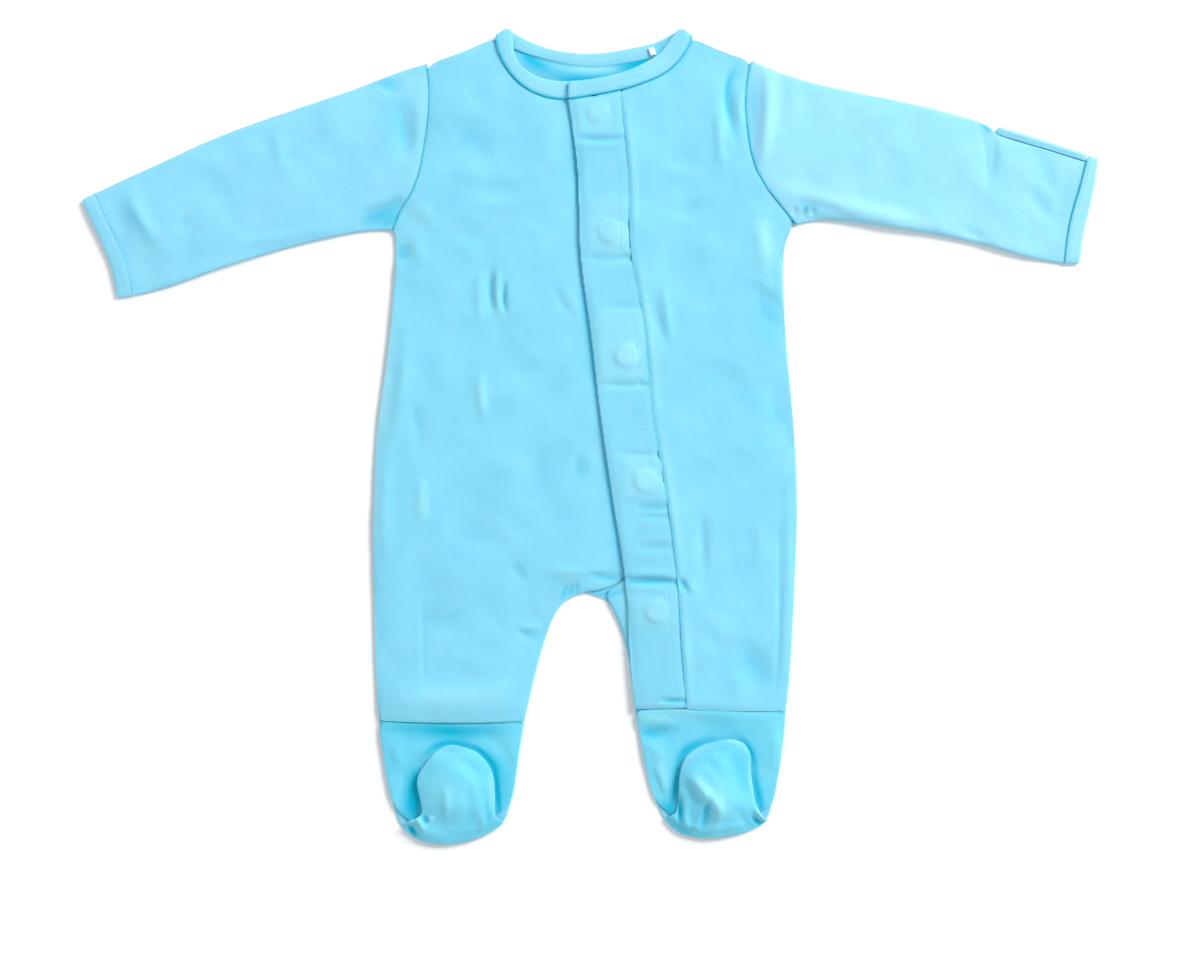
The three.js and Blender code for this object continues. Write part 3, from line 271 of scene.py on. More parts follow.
# ---- making cloth from the solids
making = {
    "mergeWithin": 0.02,
    "pairAngle": 60,
    "smoothAngle": 40,
    "latticeCells": 256,
    "creaseSteps": 13,
    "creaseReach": 3,  # in crease widths, beyond which a crease moves nothing
    "creaseEnds": 0.7,  # how bluntly a crease runs out
}


def selectOnly(piece):
    bpy.ops.object.select_all(action="DESELECT")
    piece.select_set(True)
    bpy.context.view_layer.objects.active = piece


def applyModifier(piece, kind, **settings):
    selectOnly(piece)
    modifier = piece.modifiers.new(kind.title(), kind)
    for name, value in settings.items():
        setattr(modifier, name, value)
    bpy.ops.object.modifier_apply(modifier=modifier.name)


def clothFrom(nodeName, pieceName, material, levels):
    # a soft copy of a solid: its points merged, its faces paired, and its walls rounded by subdivision
    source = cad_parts[nodeName]
    piece = bpy.data.objects.new(pieceName, source.data.copy())
    scene.collection.objects.link(piece)
    selectOnly(piece)
    bpy.ops.object.mode_set(mode="EDIT")
    bpy.ops.mesh.select_all(action="SELECT")
    bpy.ops.mesh.customdata_custom_splitnormals_clear()
    bpy.ops.mesh.remove_doubles(threshold=making["mergeWithin"] * mm)
    widest = math.radians(making["pairAngle"])
    bpy.ops.mesh.tris_convert_to_quads(face_threshold=widest, shape_threshold=widest)
    bpy.ops.object.mode_set(mode="OBJECT")
    if levels:
        applyModifier(piece, "SUBSURF", levels=levels, render_levels=levels)
    selectOnly(piece)
    bpy.ops.object.shade_smooth()
    piece.data.materials.clear()
    piece.data.materials.append(material)
    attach(piece, "root")
    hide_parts(nodeName)
    return piece


def pointsOf(piece):
    flat = np.empty(len(piece.data.vertices) * 3)
    piece.data.vertices.foreach_get("co", flat)
    return flat.reshape(-1, 3) / mm


def normalsOf(piece):
    flat = np.empty(len(piece.data.vertices) * 3)
    piece.data.vertices.foreach_get("normal", flat)
    return flat.reshape(-1, 3)


def setPoints(piece, points):
    piece.data.vertices.foreach_set("co", (points * mm).ravel())
    piece.data.update()


def treeOf(source):
    # for finding the nearest place on a piece, in millimetres
    corners = [vertex.co / mm for vertex in source.data.vertices]
    return BVHTree.FromPolygons(corners, [face.vertices[:] for face in source.data.polygons])


def creaseRelief(points, rows):
    # the height that soft ridges and troughs add: each runs through three points and fades at its ends
    relief = np.zeros(len(points))
    xy = points[:, :2]
    for x1, y1, x2, y2, x3, y3, width, height in rows:
        steps = np.linspace(0, 1, making["creaseSteps"])
        bendX, bendY = 2 * x2 - (x1 + x3) / 2, 2 * y2 - (y1 + y3) / 2
        curve = np.stack([
            (1 - steps) ** 2 * x1 + 2 * steps * (1 - steps) * bendX + steps ** 2 * x3,
            (1 - steps) ** 2 * y1 + 2 * steps * (1 - steps) * bendY + steps ** 2 * y3], 1)
        reach = making["creaseReach"] * width
        low, high = curve.min(0) - reach, curve.max(0) + reach
        near = np.where(((xy > low) & (xy < high)).all(1))[0]
        if not len(near):
            continue
        best = np.full(len(near), 1e9)
        along = np.zeros(len(near))
        for index in range(len(steps) - 1):
            start, stretch = curve[index], curve[index + 1] - curve[index]
            length = max(float(stretch @ stretch), 1e-9)
            share = np.clip(((xy[near] - start) @ stretch) / length, 0, 1)
            gap = np.linalg.norm(xy[near] - start - share[:, None] * stretch, axis=1)
            closer = gap < best
            best[closer] = gap[closer]
            along[closer] = (steps[index] + share / (len(steps) - 1))[closer]
        fade = np.sin(np.pi * np.clip(along, 0.02, 0.98)) ** making["creaseEnds"]
        relief[near] += height * fade * np.exp(-(best / width) ** 2)
    return relief


def patchRelief(points, rows):
    # flat-topped stiff patches: x1, y1, x2, y2, soft edge, height
    relief = np.zeros(len(points))
    for x1, y1, x2, y2, edge, height in rows:
        inside = np.minimum.reduce([points[:, 0] - x1, x2 - points[:, 0], points[:, 1] - y1, y2 - points[:, 1]])
        share = np.clip(inside / edge, 0, 1)
        relief += height * share * share * (3 - 2 * share)
    return relief


def discRelief(points, rows):
    # round flat-topped bumps: x, y, radius, soft edge, height
    relief = np.zeros(len(points))
    for x, y, radius, edge, height in rows:
        share = np.clip((radius - np.hypot(points[:, 0] - x, points[:, 1] - y)) / edge, 0, 1)
        relief += height * share * share * (3 - 2 * share)
    return relief


def slack(points, size, seed):
    # slow uneven waves of cloth that was washed and not ironed, from -1 to 1
    cells = making["latticeCells"]
    lattice = np.random.default_rng(seed).uniform(-1, 1, (cells, cells))
    place = points[:, :2] / size + cells // 2
    corner = np.floor(place).astype(int)
    share = place - corner
    share = share * share * (3 - 2 * share)
    x, y, u, v = corner[:, 0], corner[:, 1], share[:, 0], share[:, 1]
    low = lattice[x, y] * (1 - u) + lattice[x + 1, y] * u
    high = lattice[x, y + 1] * (1 - u) + lattice[x + 1, y + 1] * u
    return low * (1 - v) + high * v


garment = {
    "fullness": 1.35,  # every crease is multiplied by this
    "onFloor": 0.0,  # heights that the pieces lie on
    "onBack": 1.1,
    "onFronts": 3.0,
    "underLayer": 1.0,  # the under layer of a folded piece, which stays as it is
    "waves": [(23, 0.50, 3), (11, 0.30, 5), (5.5, 0.08, 8)],  # size, height, seed
    "creases": [  # those that run on from one piece to the next
        (-118, -143, -80, -144, -38, -143, 9, 1.2), (-116, -162, -80, -164, -40, -162, 5, -0.5),
        (22, -151, 60, -150, 108, -152, 6, 0.5), (-2, -75.8, 8, -76.6, 20, -77.8, 1.9, -1),
        (-6, -84.6, 8, -86.4, 20, -83, 1.7, -0.9), (-26, -74.5, -10, -74, 12, -75, 3.4, 0.5),
    ],
    # painted shade in the two creases across the crotch
    "paintedShades": [
        (-2, -76.4, 8, -77.2, 20, -78.4, 1.6, 0.45), (-5, -85.2, 8, -87, 20, -83.6, 1.6, 0.45),
    ],
}


def paint(piece, name, amount):
    attribute = piece.data.attributes.get(name) or piece.data.attributes.new(name, "FLOAT", "POINT")
    attribute.data.foreach_set("value", np.clip(amount, 0, 1).astype(np.float32))


settling = {
    "topShare": 0.85,  # of its thickness, that a layer keeps above what it lies on
    "fixedFade": 0.5,
    "paintedShadeFrom": 0.4,  # depth from which a trough gets painted shade, and how much
    "paintedShadeShare": 0.14,
    "highlightFrom": 0.6,  # height from which a crest gets a painted highlight, and how much
    "highlightShare": 0.12,
    "patchShare": 0.6,
    "domeShare": 0.9,
    "underRise": 0.75,  # most that a crease in the underside may rise
    "underHeight": 0.3,
}


def drape(piece, details, lowest=garment["onBack"], thickness=1.0, fixed=None):
    # moves the cloth up and down along its creases, keeps it off what it lies on, paints shade into its hollows and
    # highlights on its crests, and paints it paler over the patches and magnets
    points = pointsOf(piece)
    relief = garment["fullness"] * creaseRelief(points, details.get("creases", []) + garment["creases"])
    for size, height, seed in garment["waves"]:
        relief += details.get("slack", 1.0) * height * slack(points, size, seed)
    relief += patchRelief(points, details.get("patches", [])) + discRelief(points, details.get("domes", []))
    if fixed is not None:
        relief *= np.clip((points[:, 2] - fixed) / settling["fixedFade"], 0, 1)
    moved = points[:, 2] + relief
    facing = normalsOf(piece)[:, 2]
    stop = np.where(facing < 0, lowest, lowest + settling["topShare"] * thickness)
    points[:, 2] = np.maximum(moved, np.minimum(stop, points[:, 2]))
    setPoints(piece, points)
    # painted shade: the listed rows, the seams' painted shade, and the deeper troughs
    paintedShades = creaseRelief(points, details.get("paintedShades", []) + garment["paintedShades"])
    painted = piece.data.attributes.get("paintedShade")
    if painted:
        seamShade = np.empty(len(points), np.float32)
        painted.data.foreach_get("value", seamShade)
        paintedShades += seamShade
    paint(piece, "paintedShade", paintedShades + settling["paintedShadeShare"] * np.clip(-relief - settling["paintedShadeFrom"], 0, 3))
    # painted highlight on crests, and the cloth's own paleness over the patches and magnets
    highlightsAndPale = creaseRelief(points, details.get("highlightsAndPale", []))
    highlightsAndPale = highlightsAndPale + settling["highlightShare"] * np.clip(relief - settling["highlightFrom"], 0, 2)
    highlightsAndPale += settling["patchShare"] * patchRelief(points, details.get("patches", []))
    highlightsAndPale += settling["domeShare"] * discRelief(points, details.get("domes", []))
    paint(piece, "pale", highlightsAndPale)
    selectOnly(piece)
    bpy.ops.object.shade_smooth_by_angle(angle=math.radians(making["smoothAngle"]))


seamEdge = {
    "reach": 2.6,  # how far a cut edge looks for the piece that it is sewn to
    "lift": 0.55,  # how far the top of a drawn edge rises, so that it isn't rounded away
    "shadeFromSteepness": 0.22,  # steepness of the cloth where the painted shade starts: 0 lies flat, 1 is upright
    "shadeFade": 0.3,
    "drawnFrom": 0.3,  # and where it starts to be drawn
    "drawFade": 0.4,
    "downTo": -0.75,  # what faces down further than this is left alone
    "liftFrom": -0.1,
}


def closeSeams(piece, seams, lift=seamEdge["lift"]):
    # draws the cut edges up to the pieces that they are sewn to, so that each seam is a shallow groove, and paints
    # shade into the groove and onto the steep cut edges. A seam has the distance left to the other solid and a share of
    # the painted shade colour. With None for the distance the edge only gets painted shade and doesn't move
    points, facing = pointsOf(piece), normalsOf(piece)
    level = np.linalg.norm(facing[:, :2], axis=1)
    seamShade = np.zeros(len(points))
    trees = [(treeOf(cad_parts[name]), left, share) for name, (left, share) in seams.items()]
    for index in np.where((level > seamEdge["shadeFromSteepness"]) & (facing[:, 2] > seamEdge["downTo"]))[0]:
        shadedShare = min(1, (level[index] - seamEdge["shadeFromSteepness"]) / seamEdge["shadeFade"])
        drawn = min(1, max(0, (level[index] - seamEdge["drawnFrom"]) / seamEdge["drawFade"]))
        moved = squared = 0
        for tree, left, share in trees:
            place, _, _, gap = tree.find_nearest(Vector(points[index]), seamEdge["reach"])
            if gap is None:
                continue
            nearness = min(1, 2 * (1 - gap / seamEdge["reach"]))
            seamShade[index] = max(seamShade[index], share * nearness * shadedShare)
            if left is not None:
                across = np.array(place)[:2] - points[index, :2]
                facesIt = max(0, across @ facing[index, :2] / max(level[index] * np.linalg.norm(across), 1e-6))
                moved = max(moved, max(0, gap - left) * nearness * drawn * facesIt)
                squared = max(squared, nearness)
        points[index, :2] += facing[index, :2] / level[index] * moved
        points[index, 2] += lift * squared * (1 - max(0, facing[index, 2])) * (facing[index, 2] > seamEdge["liftFrom"])
    setPoints(piece, points)
    # painted shade along the seams and shadowed edges
    paint(piece, "paintedShade", seamShade)


def pullCorner(piece, x, y, moveX, moveY, reach):
    # draws a rounded corner, at x and y, out to the seam that it is caught in
    points = pointsOf(piece)
    near = np.clip(1 - np.hypot(points[:, 0] - x, points[:, 1] - y) / reach, 0, 1)
    near = near * near * (3 - 2 * near)
    points[:, 0] += moveX * near
    points[:, 1] += moveY * near
    setPoints(piece, points)


def crumpleUnder(piece, rows):
    # shallow creases in the side that lies on the surface: they only rise from it
    points = pointsOf(piece)
    under = (normalsOf(piece)[:, 2] < -0.5) & (points[:, 2] < settling["underHeight"])
    rise = np.clip(creaseRelief(points, rows), 0, settling["underRise"])
    points[:, 2] += np.where(under, rise, 0)
    setPoints(piece, points)


print("cloth helpers are ready")

# ---- back
back = {
    "seams": {"neck_binding_back": (0.24, 0.4)},
    "slack": 0.35,
    # painted highlight on a ridge inside the neck
    "highlightsAndPale": [(-12, 204.4, 2, 202.8, 16, 203.4, 2.4, 0.45)],
    "creases": [
        (-40, 212, 2, 205, 48, 212, 3, 0.4), (-42, 207, -6, 199, 34, 204, 3.2, 0.8),
        (-14, 192, 4, 190, 18, 195, 4, -0.4),
    ],
    # painted shade inside the neck opening
    "paintedShades": [
        (-46, 208, 0, 197, 48, 212, 12, 0.12), (-24, 201, -6, 196.4, 12, 198.4, 3, 0.9),
        (12, 202, 25, 204, 38, 209.6, 2.6, 0.95), (40, 220, 43, 213, 45, 207, 3.4, 0.6),
        (-41, 215, -36, 210, -24, 205.5, 2, 0.5), (-38, 209.5, -30, 204.6, -19, 201.6, 3, 0.85),
    ],
    "under": [
        (-80, 150, -40, 138, 20, 144, 6, 0.5), (30, 170, 60, 160, 84, 150, 5, 0.45),
        (-96, 60, -60, 40, -30, 52, 7, 0.5), (20, 60, 60, 44, 98, 58, 7, 0.5),
        (-100, -10, -70, -30, -40, -26, 6, 0.5), (40, -30, 70, -44, 100, -30, 6, 0.55),
        (-104, -100, -86, -116, -60, -108, 5, 0.5), (60, -96, 80, -112, 102, -104, 5, 0.45),
        (-20, 20, 0, -20, 6, -60, 6, 0.5), (-60, 100, -30, 90, 10, 96, 6, 0.4),
        (-100, -170, -80, -176, -60, -170, 4, 0.5), (50, -170, 70, -178, 92, -172, 4, 0.5),
    ],
}
backPanel = clothFrom("back_panel", "back-panel", bodyJersey, 2)
closeSeams(backPanel, back["seams"])
drape(backPanel, back, garment["onFloor"])
crumpleUnder(backPanel, back["under"])

# ---- right front
rightFront = {
    "seams": {
        "sleeve_right": (0.24, 0.6), "foot_upper_right": (0.26, 0.3), "neck_binding_front_right": (0.26, 1.0)},
    "creases": [
        (-46.4, 85, -47.2, 76, -46.2, 67.5, 1.3, -1.3), (-53.6, 91, -54.6, 80, -53.4, 68, 1.8, -1),
        (-50, 92, -50.8, 80, -49.6, 68, 1.8, 0.8), (-60, 92, -61, 78, -60, 62, 2.8, 0.6),
        (-21, 84, -16, 74, -8, 63, 2.4, -0.4), (-14, 84, -11, 76, -6, 66, 2.8, 0.3),
        (-102, 106, -102.8, 101, -102.4, 96, 3.6, -1.2), (-96.5, 113, -94.4, 104, -93.4, 92, 4, 0.6),
        (-101, 66, -102.6, 30, -110, -6, 4, 0.8), (-110, 0, -113, -32, -111.2, -68, 4, 0.8),
        (-96.8, 20, -95, 6, -92.4, -10, 3, -0.5), (-60, 36, -59.6, 22, -57.5, 9, 3, 0.8),
        (-92.6, -22, -92.4, -34, -91, -48, 3.2, 0.7), (-91.8, -84, -91.6, -112, -90.6, -138, 1.4, -0.25),
        (-94.4, -84, -94.2, -112, -93.2, -138, 1.8, 0.12), (-15.6, -89.6, -14.2, -85.6, -12.6, -81.6, 1.3, -1),
        (-11.6, -88, -10.6, -84.6, -9.6, -80.6, 1.2, -1), (-7.6, -87, -7.4, -84, -7, -80.4, 1.2, -0.8),
        (-39.6, -107, -33, -109, -26.6, -108.4, 1.8, -0.9), (-39, -103.6, -33, -105, -27, -104.2, 2, 0.6),
        (-42.6, -70, -38.6, -75, -34.6, -80, 3, -0.5), (-1, -9, 0.4, -14, -0.6, -20, 2.6, 0.5),
        (-6, -10, -6.8, -17, -5, -23, 2.4, -0.5), (-75, 166, -62, 160, -52, 156, 8, -0.8),
        (-76, 186, -66, 178, -56, 172, 8, 0.7), (-56, 196, -53, 190, -48, 180, 6.5, 0.6),
        (-95.4, 129, -90, 122, -84, 111, 5, 0.9), (-86, 178, -81, 174, -76, 169, 7, 0.4),
        (-78, 148, -50, 143, -24, 147, 6, 0.4), (-72, 137, -48, 135, -24, 138, 5.5, -0.35),
        (-66, 130, -46, 127, -26, 131, 4, 0.35), (-80, 110, -66, 112, -50, 108, 6, -0.5),
        (-44, 120, -30, 112, -18, 108, 6, 0.4), (-86, 54, -80, 40, -84, 22, 7, 0.5),
        (-44, 44, -34, 36, -24, 40, 7, -0.5), (-70, -20, -52, -14, -34, -24, 9, 0.6),
        (-30, -6, -26, -22, -32, -40, 7, -0.5), (-74, -48, -60, -56, -44, -52, 9, -0.5),
        (-80, -70, -66, -80, -50, -78, 8, 0.5), (-100, -96, -84, -104, -60, -98, 7, -0.5),
        (-72, -122, -58, -126, -44, -120, 7, 0.5),
    ],
    # painted highlights on ridges
    "highlightsAndPale": [
        (-109, 72, -113, 30, -117, -10, 4, 0.55), (-117, -6, -119, -34, -118.6, -66, 3.4, 0.4),
        (-60.5, 34, -59.4, 22, -57.5, 10, 2.6, 0.3), (-93, -26, -92, -38, -90.6, -50, 3.2, 0.3),
        (-112, -141, -80, -143, -46, -141, 5, 0.15), (-98, 128, -93, 120, -90, 108, 4, 0.2),
    ],
    # painted shadow beside the fly's free edge, and painted shade in the troughs
    "paintedShades": [
        (-12.4, 190, -7.4, 148, -5.4, 98, 1.8, 0.75), (-5.8, 106, -1.2, 60, 5.4, 8, 1.8, 0.65),
        (4.6, 16, 12, -36, 19.2, -88, 1.8, 0.6), (-102, 106, -102.8, 101, -102.4, 96, 3, 0.3),
        (-15.6, -89.6, -14.2, -85.6, -12.6, -81.6, 1.2, 0.5), (-11.6, -88, -10.6, -84.6, -9.6, -80.6, 1.2, 0.5),
        (-7.6, -87, -7.4, -84, -7, -80.4, 1.2, 0.4), (-46.4, 85, -47.2, 76, -46.2, 67.5, 1.2, 0.4),
        (-53.6, 90, -54.6, 80, -53.4, 69, 1.6, 0.25), (-84, 176, -66, 164, -46, 156, 10, 0.07),
        (-41.6, -68, -38.4, -75, -35, -82, 2.6, 0.18), (-6, -12, -6.8, -18, -5, -25, 2.4, 0.15),
        (-39.6, -106.6, -33, -108.6, -26.6, -108.2, 1.6, 0.12),
    ],
}
rightFrontPanel = clothFrom("front_right_panel", "right-front", bodyJersey, 3)
closeSeams(rightFrontPanel, rightFront["seams"])
drape(rightFrontPanel, rightFront)

# ---- left front
leftFront = {
    "seams": {
        "sleeve_left": (0.24, 0.8), "foot_upper_left": (0.26, 0.2), "neck_binding_front_left": (0.28, 0.8),
        "overlap_placket": (0.16, 0.3)},
    "corners": [(17.6, 189.4, -1.4, 0.9, 4.0), (54.4, -147.8, -1.0, -0.8, 3.0)],
    "creases": [
        (82.4, 204, 75.6, 188, 80.6, 161, 2.4, -1.3), (84.8, 194, 82, 181, 84.4, 168, 2.4, 0.9),
        (71, 182, 70.8, 166, 72.4, 148, 3, 0.8), (40.4, 84, 42.2, 68, 45, 50, 2.8, 0.8),
        (35, 74, 38, 62, 41.6, 52, 2.8, -0.5), (90, 80, 98, 72, 105, 60, 5, -0.7),
        (88, 88, 97, 82, 106, 74, 4, 0.4), (98, 34, 102, 20, 106, 4, 7, -0.8),
        (88, 66, 86, 58, 88, 48, 6, -0.4), (93, 120, 94, 106, 96.4, 88, 4.5, 0.9),
        (103.4, 99, 104.6, 84, 105.4, 66, 3, 0.6), (103.6, -46, 104, -96, 101.8, -146, 1.6, -0.5),
        (108.2, -22, 109, -72, 107, -128, 3, 0.6), (61.4, -42, 62, -58, 63, -76, 2.6, -0.6),
        (68, -38, 67, -58, 66.2, -78, 3.4, 0.4), (76, -50, 77.4, -62, 79, -78, 3.4, -0.3),
        (92, -44, 93, -56, 93.2, -72, 3.6, 0.4), (82, -114, 91, -127, 99, -143, 7.5, -0.9),
        (78, -128, 82, -138, 84, -146, 4.5, 0.5), (49.4, -78.4, 51, -80.8, 53, -85, 1.6, -1.2),
        (54, -80, 56, -82.6, 56.6, -86, 2.2, 0.6), (54, 150, 60, 158, 66, 170, 6, 0.4),
        (40, 130, 56, 124, 74, 130, 5, -0.5), (36, 148, 50, 144, 64, 146, 5, 0.5),
        (44, 100, 60, 106, 80, 98, 7, 0.5), (60, 20, 72, 30, 82, 22, 8, -0.5), (52, 42, 64, 46, 78, 40, 7, 0.4),
        (66, -10, 78, -2, 92, -14, 9, 0.5), (64, -96, 72, -106, 80, -100, 7, 0.4),
        (18.6, 188, 23.2, 146, 24.4, 104, 1.8, 0.3), (24.8, 102, 32, 60, 36.8, 12, 1.8, 0.3),
        (37, 10, 44.8, -38, 50.4, -82, 1.8, 0.3), (50.4, -86, 52.6, -118, 55, -146, 1.8, 0.3),
        (46, -149.4, 66, -150, 90, -151, 3, -0.5),
    ],
    # painted highlights beside the fly's stitched line and on ridges
    "highlightsAndPale": [
        (20.6, 188, 25.2, 146, 26.4, 104, 2, 0.22), (26.8, 102, 34, 60, 38.8, 12, 2, 0.22),
        (39, 10, 46.8, -38, 52.4, -82, 2, 0.18), (52.4, -86, 54.6, -118, 57, -146, 2, 0.14),
        (96, 122, 96.6, 110, 99, 96, 4, 0.45), (73.4, 178, 73.2, 164, 74.6, 148, 2.4, 0.2),
    ],
    # painted shade in the troughs
    "paintedShades": [
        (82.4, 204, 75.6, 188, 80.6, 161, 2, 0.45), (49.4, -78.4, 51, -80.8, 53, -85, 1.6, 0.5),
        (92, 80, 98, 62, 103, 46, 8, 0.18), (84, 28, 98, 13, 110, 8, 7, 0.14),
        (78, -116, 91, -129, 98, -146, 10, 0.16),
    ],
}
leftFrontPanel = clothFrom("front_left_panel", "left-front", bodyJersey, 3)
closeSeams(leftFrontPanel, leftFront["seams"])
for corner in leftFront["corners"]:
    pullCorner(leftFrontPanel, *corner)
drape(leftFrontPanel, leftFront)

# ---- fly
underlapBand = {"slack": 0.4, "seams": {"front_right_panel": (0.2, 0.6)}}
underlap = clothFrom("underlap_placket", "fly-underlap", bodyJersey, 2)
closeSeams(underlap, underlapBand["seams"])
drape(underlap, underlapBand)

fly = {
    "voxel": 0.7,
    "thickness": 0.9,
    "smoothing": 0.5,
    "rounds": (6, 2, 20),  # of smoothing: before the seams, after them, and round the domes
    "domeReach": 10.5,
    "domeFrom": 2.2,
    "seams": {
        "front_left_panel": (0.1, 0.3), "foot_upper_left": (0.3, 0.2), "neck_binding_front_left": (0.33, 0.8),
        # the edge over the right front gets painted shadow
        "front_right_panel": (None, 0.9)},
    "lift": 0.4,
    "corner": (16, 189.6, 0.8, 0.4, 4.0),
    "domes": [
        (4.5, 177, 8, 4, 0.2), (15, 110.5, 9, 5, 0.28), (20.6, 45, 9, 5, 0.28),
        (30.6, -24, 8.2, 4.0, 0.28), (36.4, -96, 8.0, 4.0, 0.2)],
    "slack": 0.6,
    "creases": [
        (-7, 163.6, 4, 162.8, 19, 163.4, 1.9, -0.8), (-6, 160, 6, 159.6, 18, 160, 2.2, 0.35),
        (-4, 98, 12, 97, 26, 98.2, 2.2, -0.5), (17, 99, 20.6, 98, 25, 98, 2.4, -0.5),
        (8, 72, 20, 71, 31, 72.6, 2.4, -0.35), (6, 28.6, 18, 28, 31, 28.4, 1.9, -0.6),
        (26, 29.6, 29, 28.6, 33, 28, 2.2, -0.55), (14, -8.6, 26, -9.6, 41, -10.2, 1.9, -0.4),
        (36, -9, 39.2, -10, 43, -10.4, 2.2, -0.6), (24, -38.4, 34, -38.8, 46, -38.4, 2.6, -0.7),
        (26, -43.6, 36, -43.8, 47, -43.6, 1.8, -0.5), (25, -60.6, 36, -60.2, 48, -60.6, 2.4, -0.5),
        (18, -79.6, 34, -79.2, 52, -80.4, 1.8, -1.4), (20, -75.6, 34, -75.2, 48, -76, 2.6, 0.6),
        (22, -83.8, 34, -83.6, 48, -84.4, 2.2, 0.4), (38, -144.6, 46, -144.9, 54.4, -144.4, 1.5, -1),
        (20, -150, 38, -149.8, 60, -149.4, 3, -0.6), (-11.4, 190, -6.4, 148, -4.6, 98, 2.4, -0.5),
        (-5, 104, 0.4, 58, 6.6, 6, 2.4, -0.5), (5.6, 14, 13.4, -38, 20.6, -84, 2.4, -0.5),
        (20, -78, 22, -112, 25, -150, 2.4, -0.4),
    ],
    "patches": [
        (-10, 163.2, 20.5, 190, 6, 0.22), (-4.4, 97.4, 24.4, 136, 8, 0.3), (1.2, 28, 32.4, 73, 7, 0.34),
        (15, -36, 44, -9.2, 6, 0.34), (21.4, -108, 51.6, -82.6, 6, 0.22),
    ],
    # painted shade in the troughs across the fly
    "paintedShades": [
        (18, -79.6, 34, -79.2, 52, -80.4, 1.8, 0.5), (-7, 163.6, 4, 162.8, 19, 163.4, 1.8, 0.25),
        (40, -144.8, 46, -145.1, 54.4, -144.6, 1.5, 0.5), (26, -38.6, 34, -39, 44, -38.6, 1.8, 0.3),
        (27, -43.8, 36, -44, 45, -43.8, 1.4, 0.25), (28, -60.6, 36, -60.4, 46, -60.6, 1.8, 0.2),
    ],
}
overlap = clothFrom("overlap_placket", "fly-overlap", bodyJersey, 0)
applyModifier(overlap, "REMESH", mode="VOXEL", voxel_size=fly["voxel"] * mm, use_smooth_shade=True)
roundsBefore, roundsAfter, roundsOnDomes = fly["rounds"]
applyModifier(overlap, "SMOOTH", factor=fly["smoothing"], iterations=roundsBefore)
closeSeams(overlap, fly["seams"], fly["lift"])
applyModifier(overlap, "SMOOTH", factor=fly["smoothing"], iterations=roundsAfter)
domes = overlap.vertex_groups.new(name="domes")
overlapPoints = pointsOf(overlap)
for x, y, *_ in fly["domes"]:
    far = np.hypot(overlapPoints[:, 0] - x, overlapPoints[:, 1] - y)
    onDome = (far < fly["domeReach"]) & (overlapPoints[:, 2] > fly["domeFrom"])
    domes.add(np.where(onDome)[0].tolist(), 1.0, "REPLACE")
applyModifier(overlap, "SMOOTH", factor=fly["smoothing"], iterations=roundsOnDomes, vertex_group="domes")
pullCorner(overlap, *fly["corner"])
drape(overlap, fly, garment["onFronts"], fly["thickness"])
print("back, fronts and fly are draped")

# ---- neck
neck = {
    "front": {"slack": 0.25},
    # the back binding gets painted shade at one end
    "back": {"slack": 0.2, "paintedShades": [(30, 212, 42, 215, 48, 221, 4.5, 0.45)]},
    "rightSeams": {"front_right_panel": (0.26, 1.0)},
    "leftSeams": {
        "front_left_panel": (0.28, 0.8), "overlap_placket": (0.36, 0.9), "neck_binding_front_right": (None, 0.9)},
    "backSeams": {"back_panel": (0.24, 0.3)},
    "tabEdge": 0.3,  # the soft folded edge of the ribbon loop
    "tabEdgeSteps": 4,
}
rightNeckBinding = clothFrom("neck_binding_front_right", "right-neck-binding", bindingJersey, 3)
closeSeams(rightNeckBinding, neck["rightSeams"])
drape(rightNeckBinding, neck["front"])
leftNeckBinding = clothFrom("neck_binding_front_left", "left-neck-binding", bindingJersey, 3)
closeSeams(leftNeckBinding, neck["leftSeams"])
drape(leftNeckBinding, neck["front"])
backNeckBinding = clothFrom("neck_binding_back", "back-neck-binding", bindingJersey, 3)
closeSeams(backNeckBinding, neck["backSeams"])
drape(backNeckBinding, neck["back"], garment["onFloor"])
labelTab = clothFrom("label_tab", "blank-tab", ribbonMaterial(), 0)
applyModifier(labelTab, "BEVEL", width=neck["tabEdge"] * mm, segments=neck["tabEdgeSteps"])

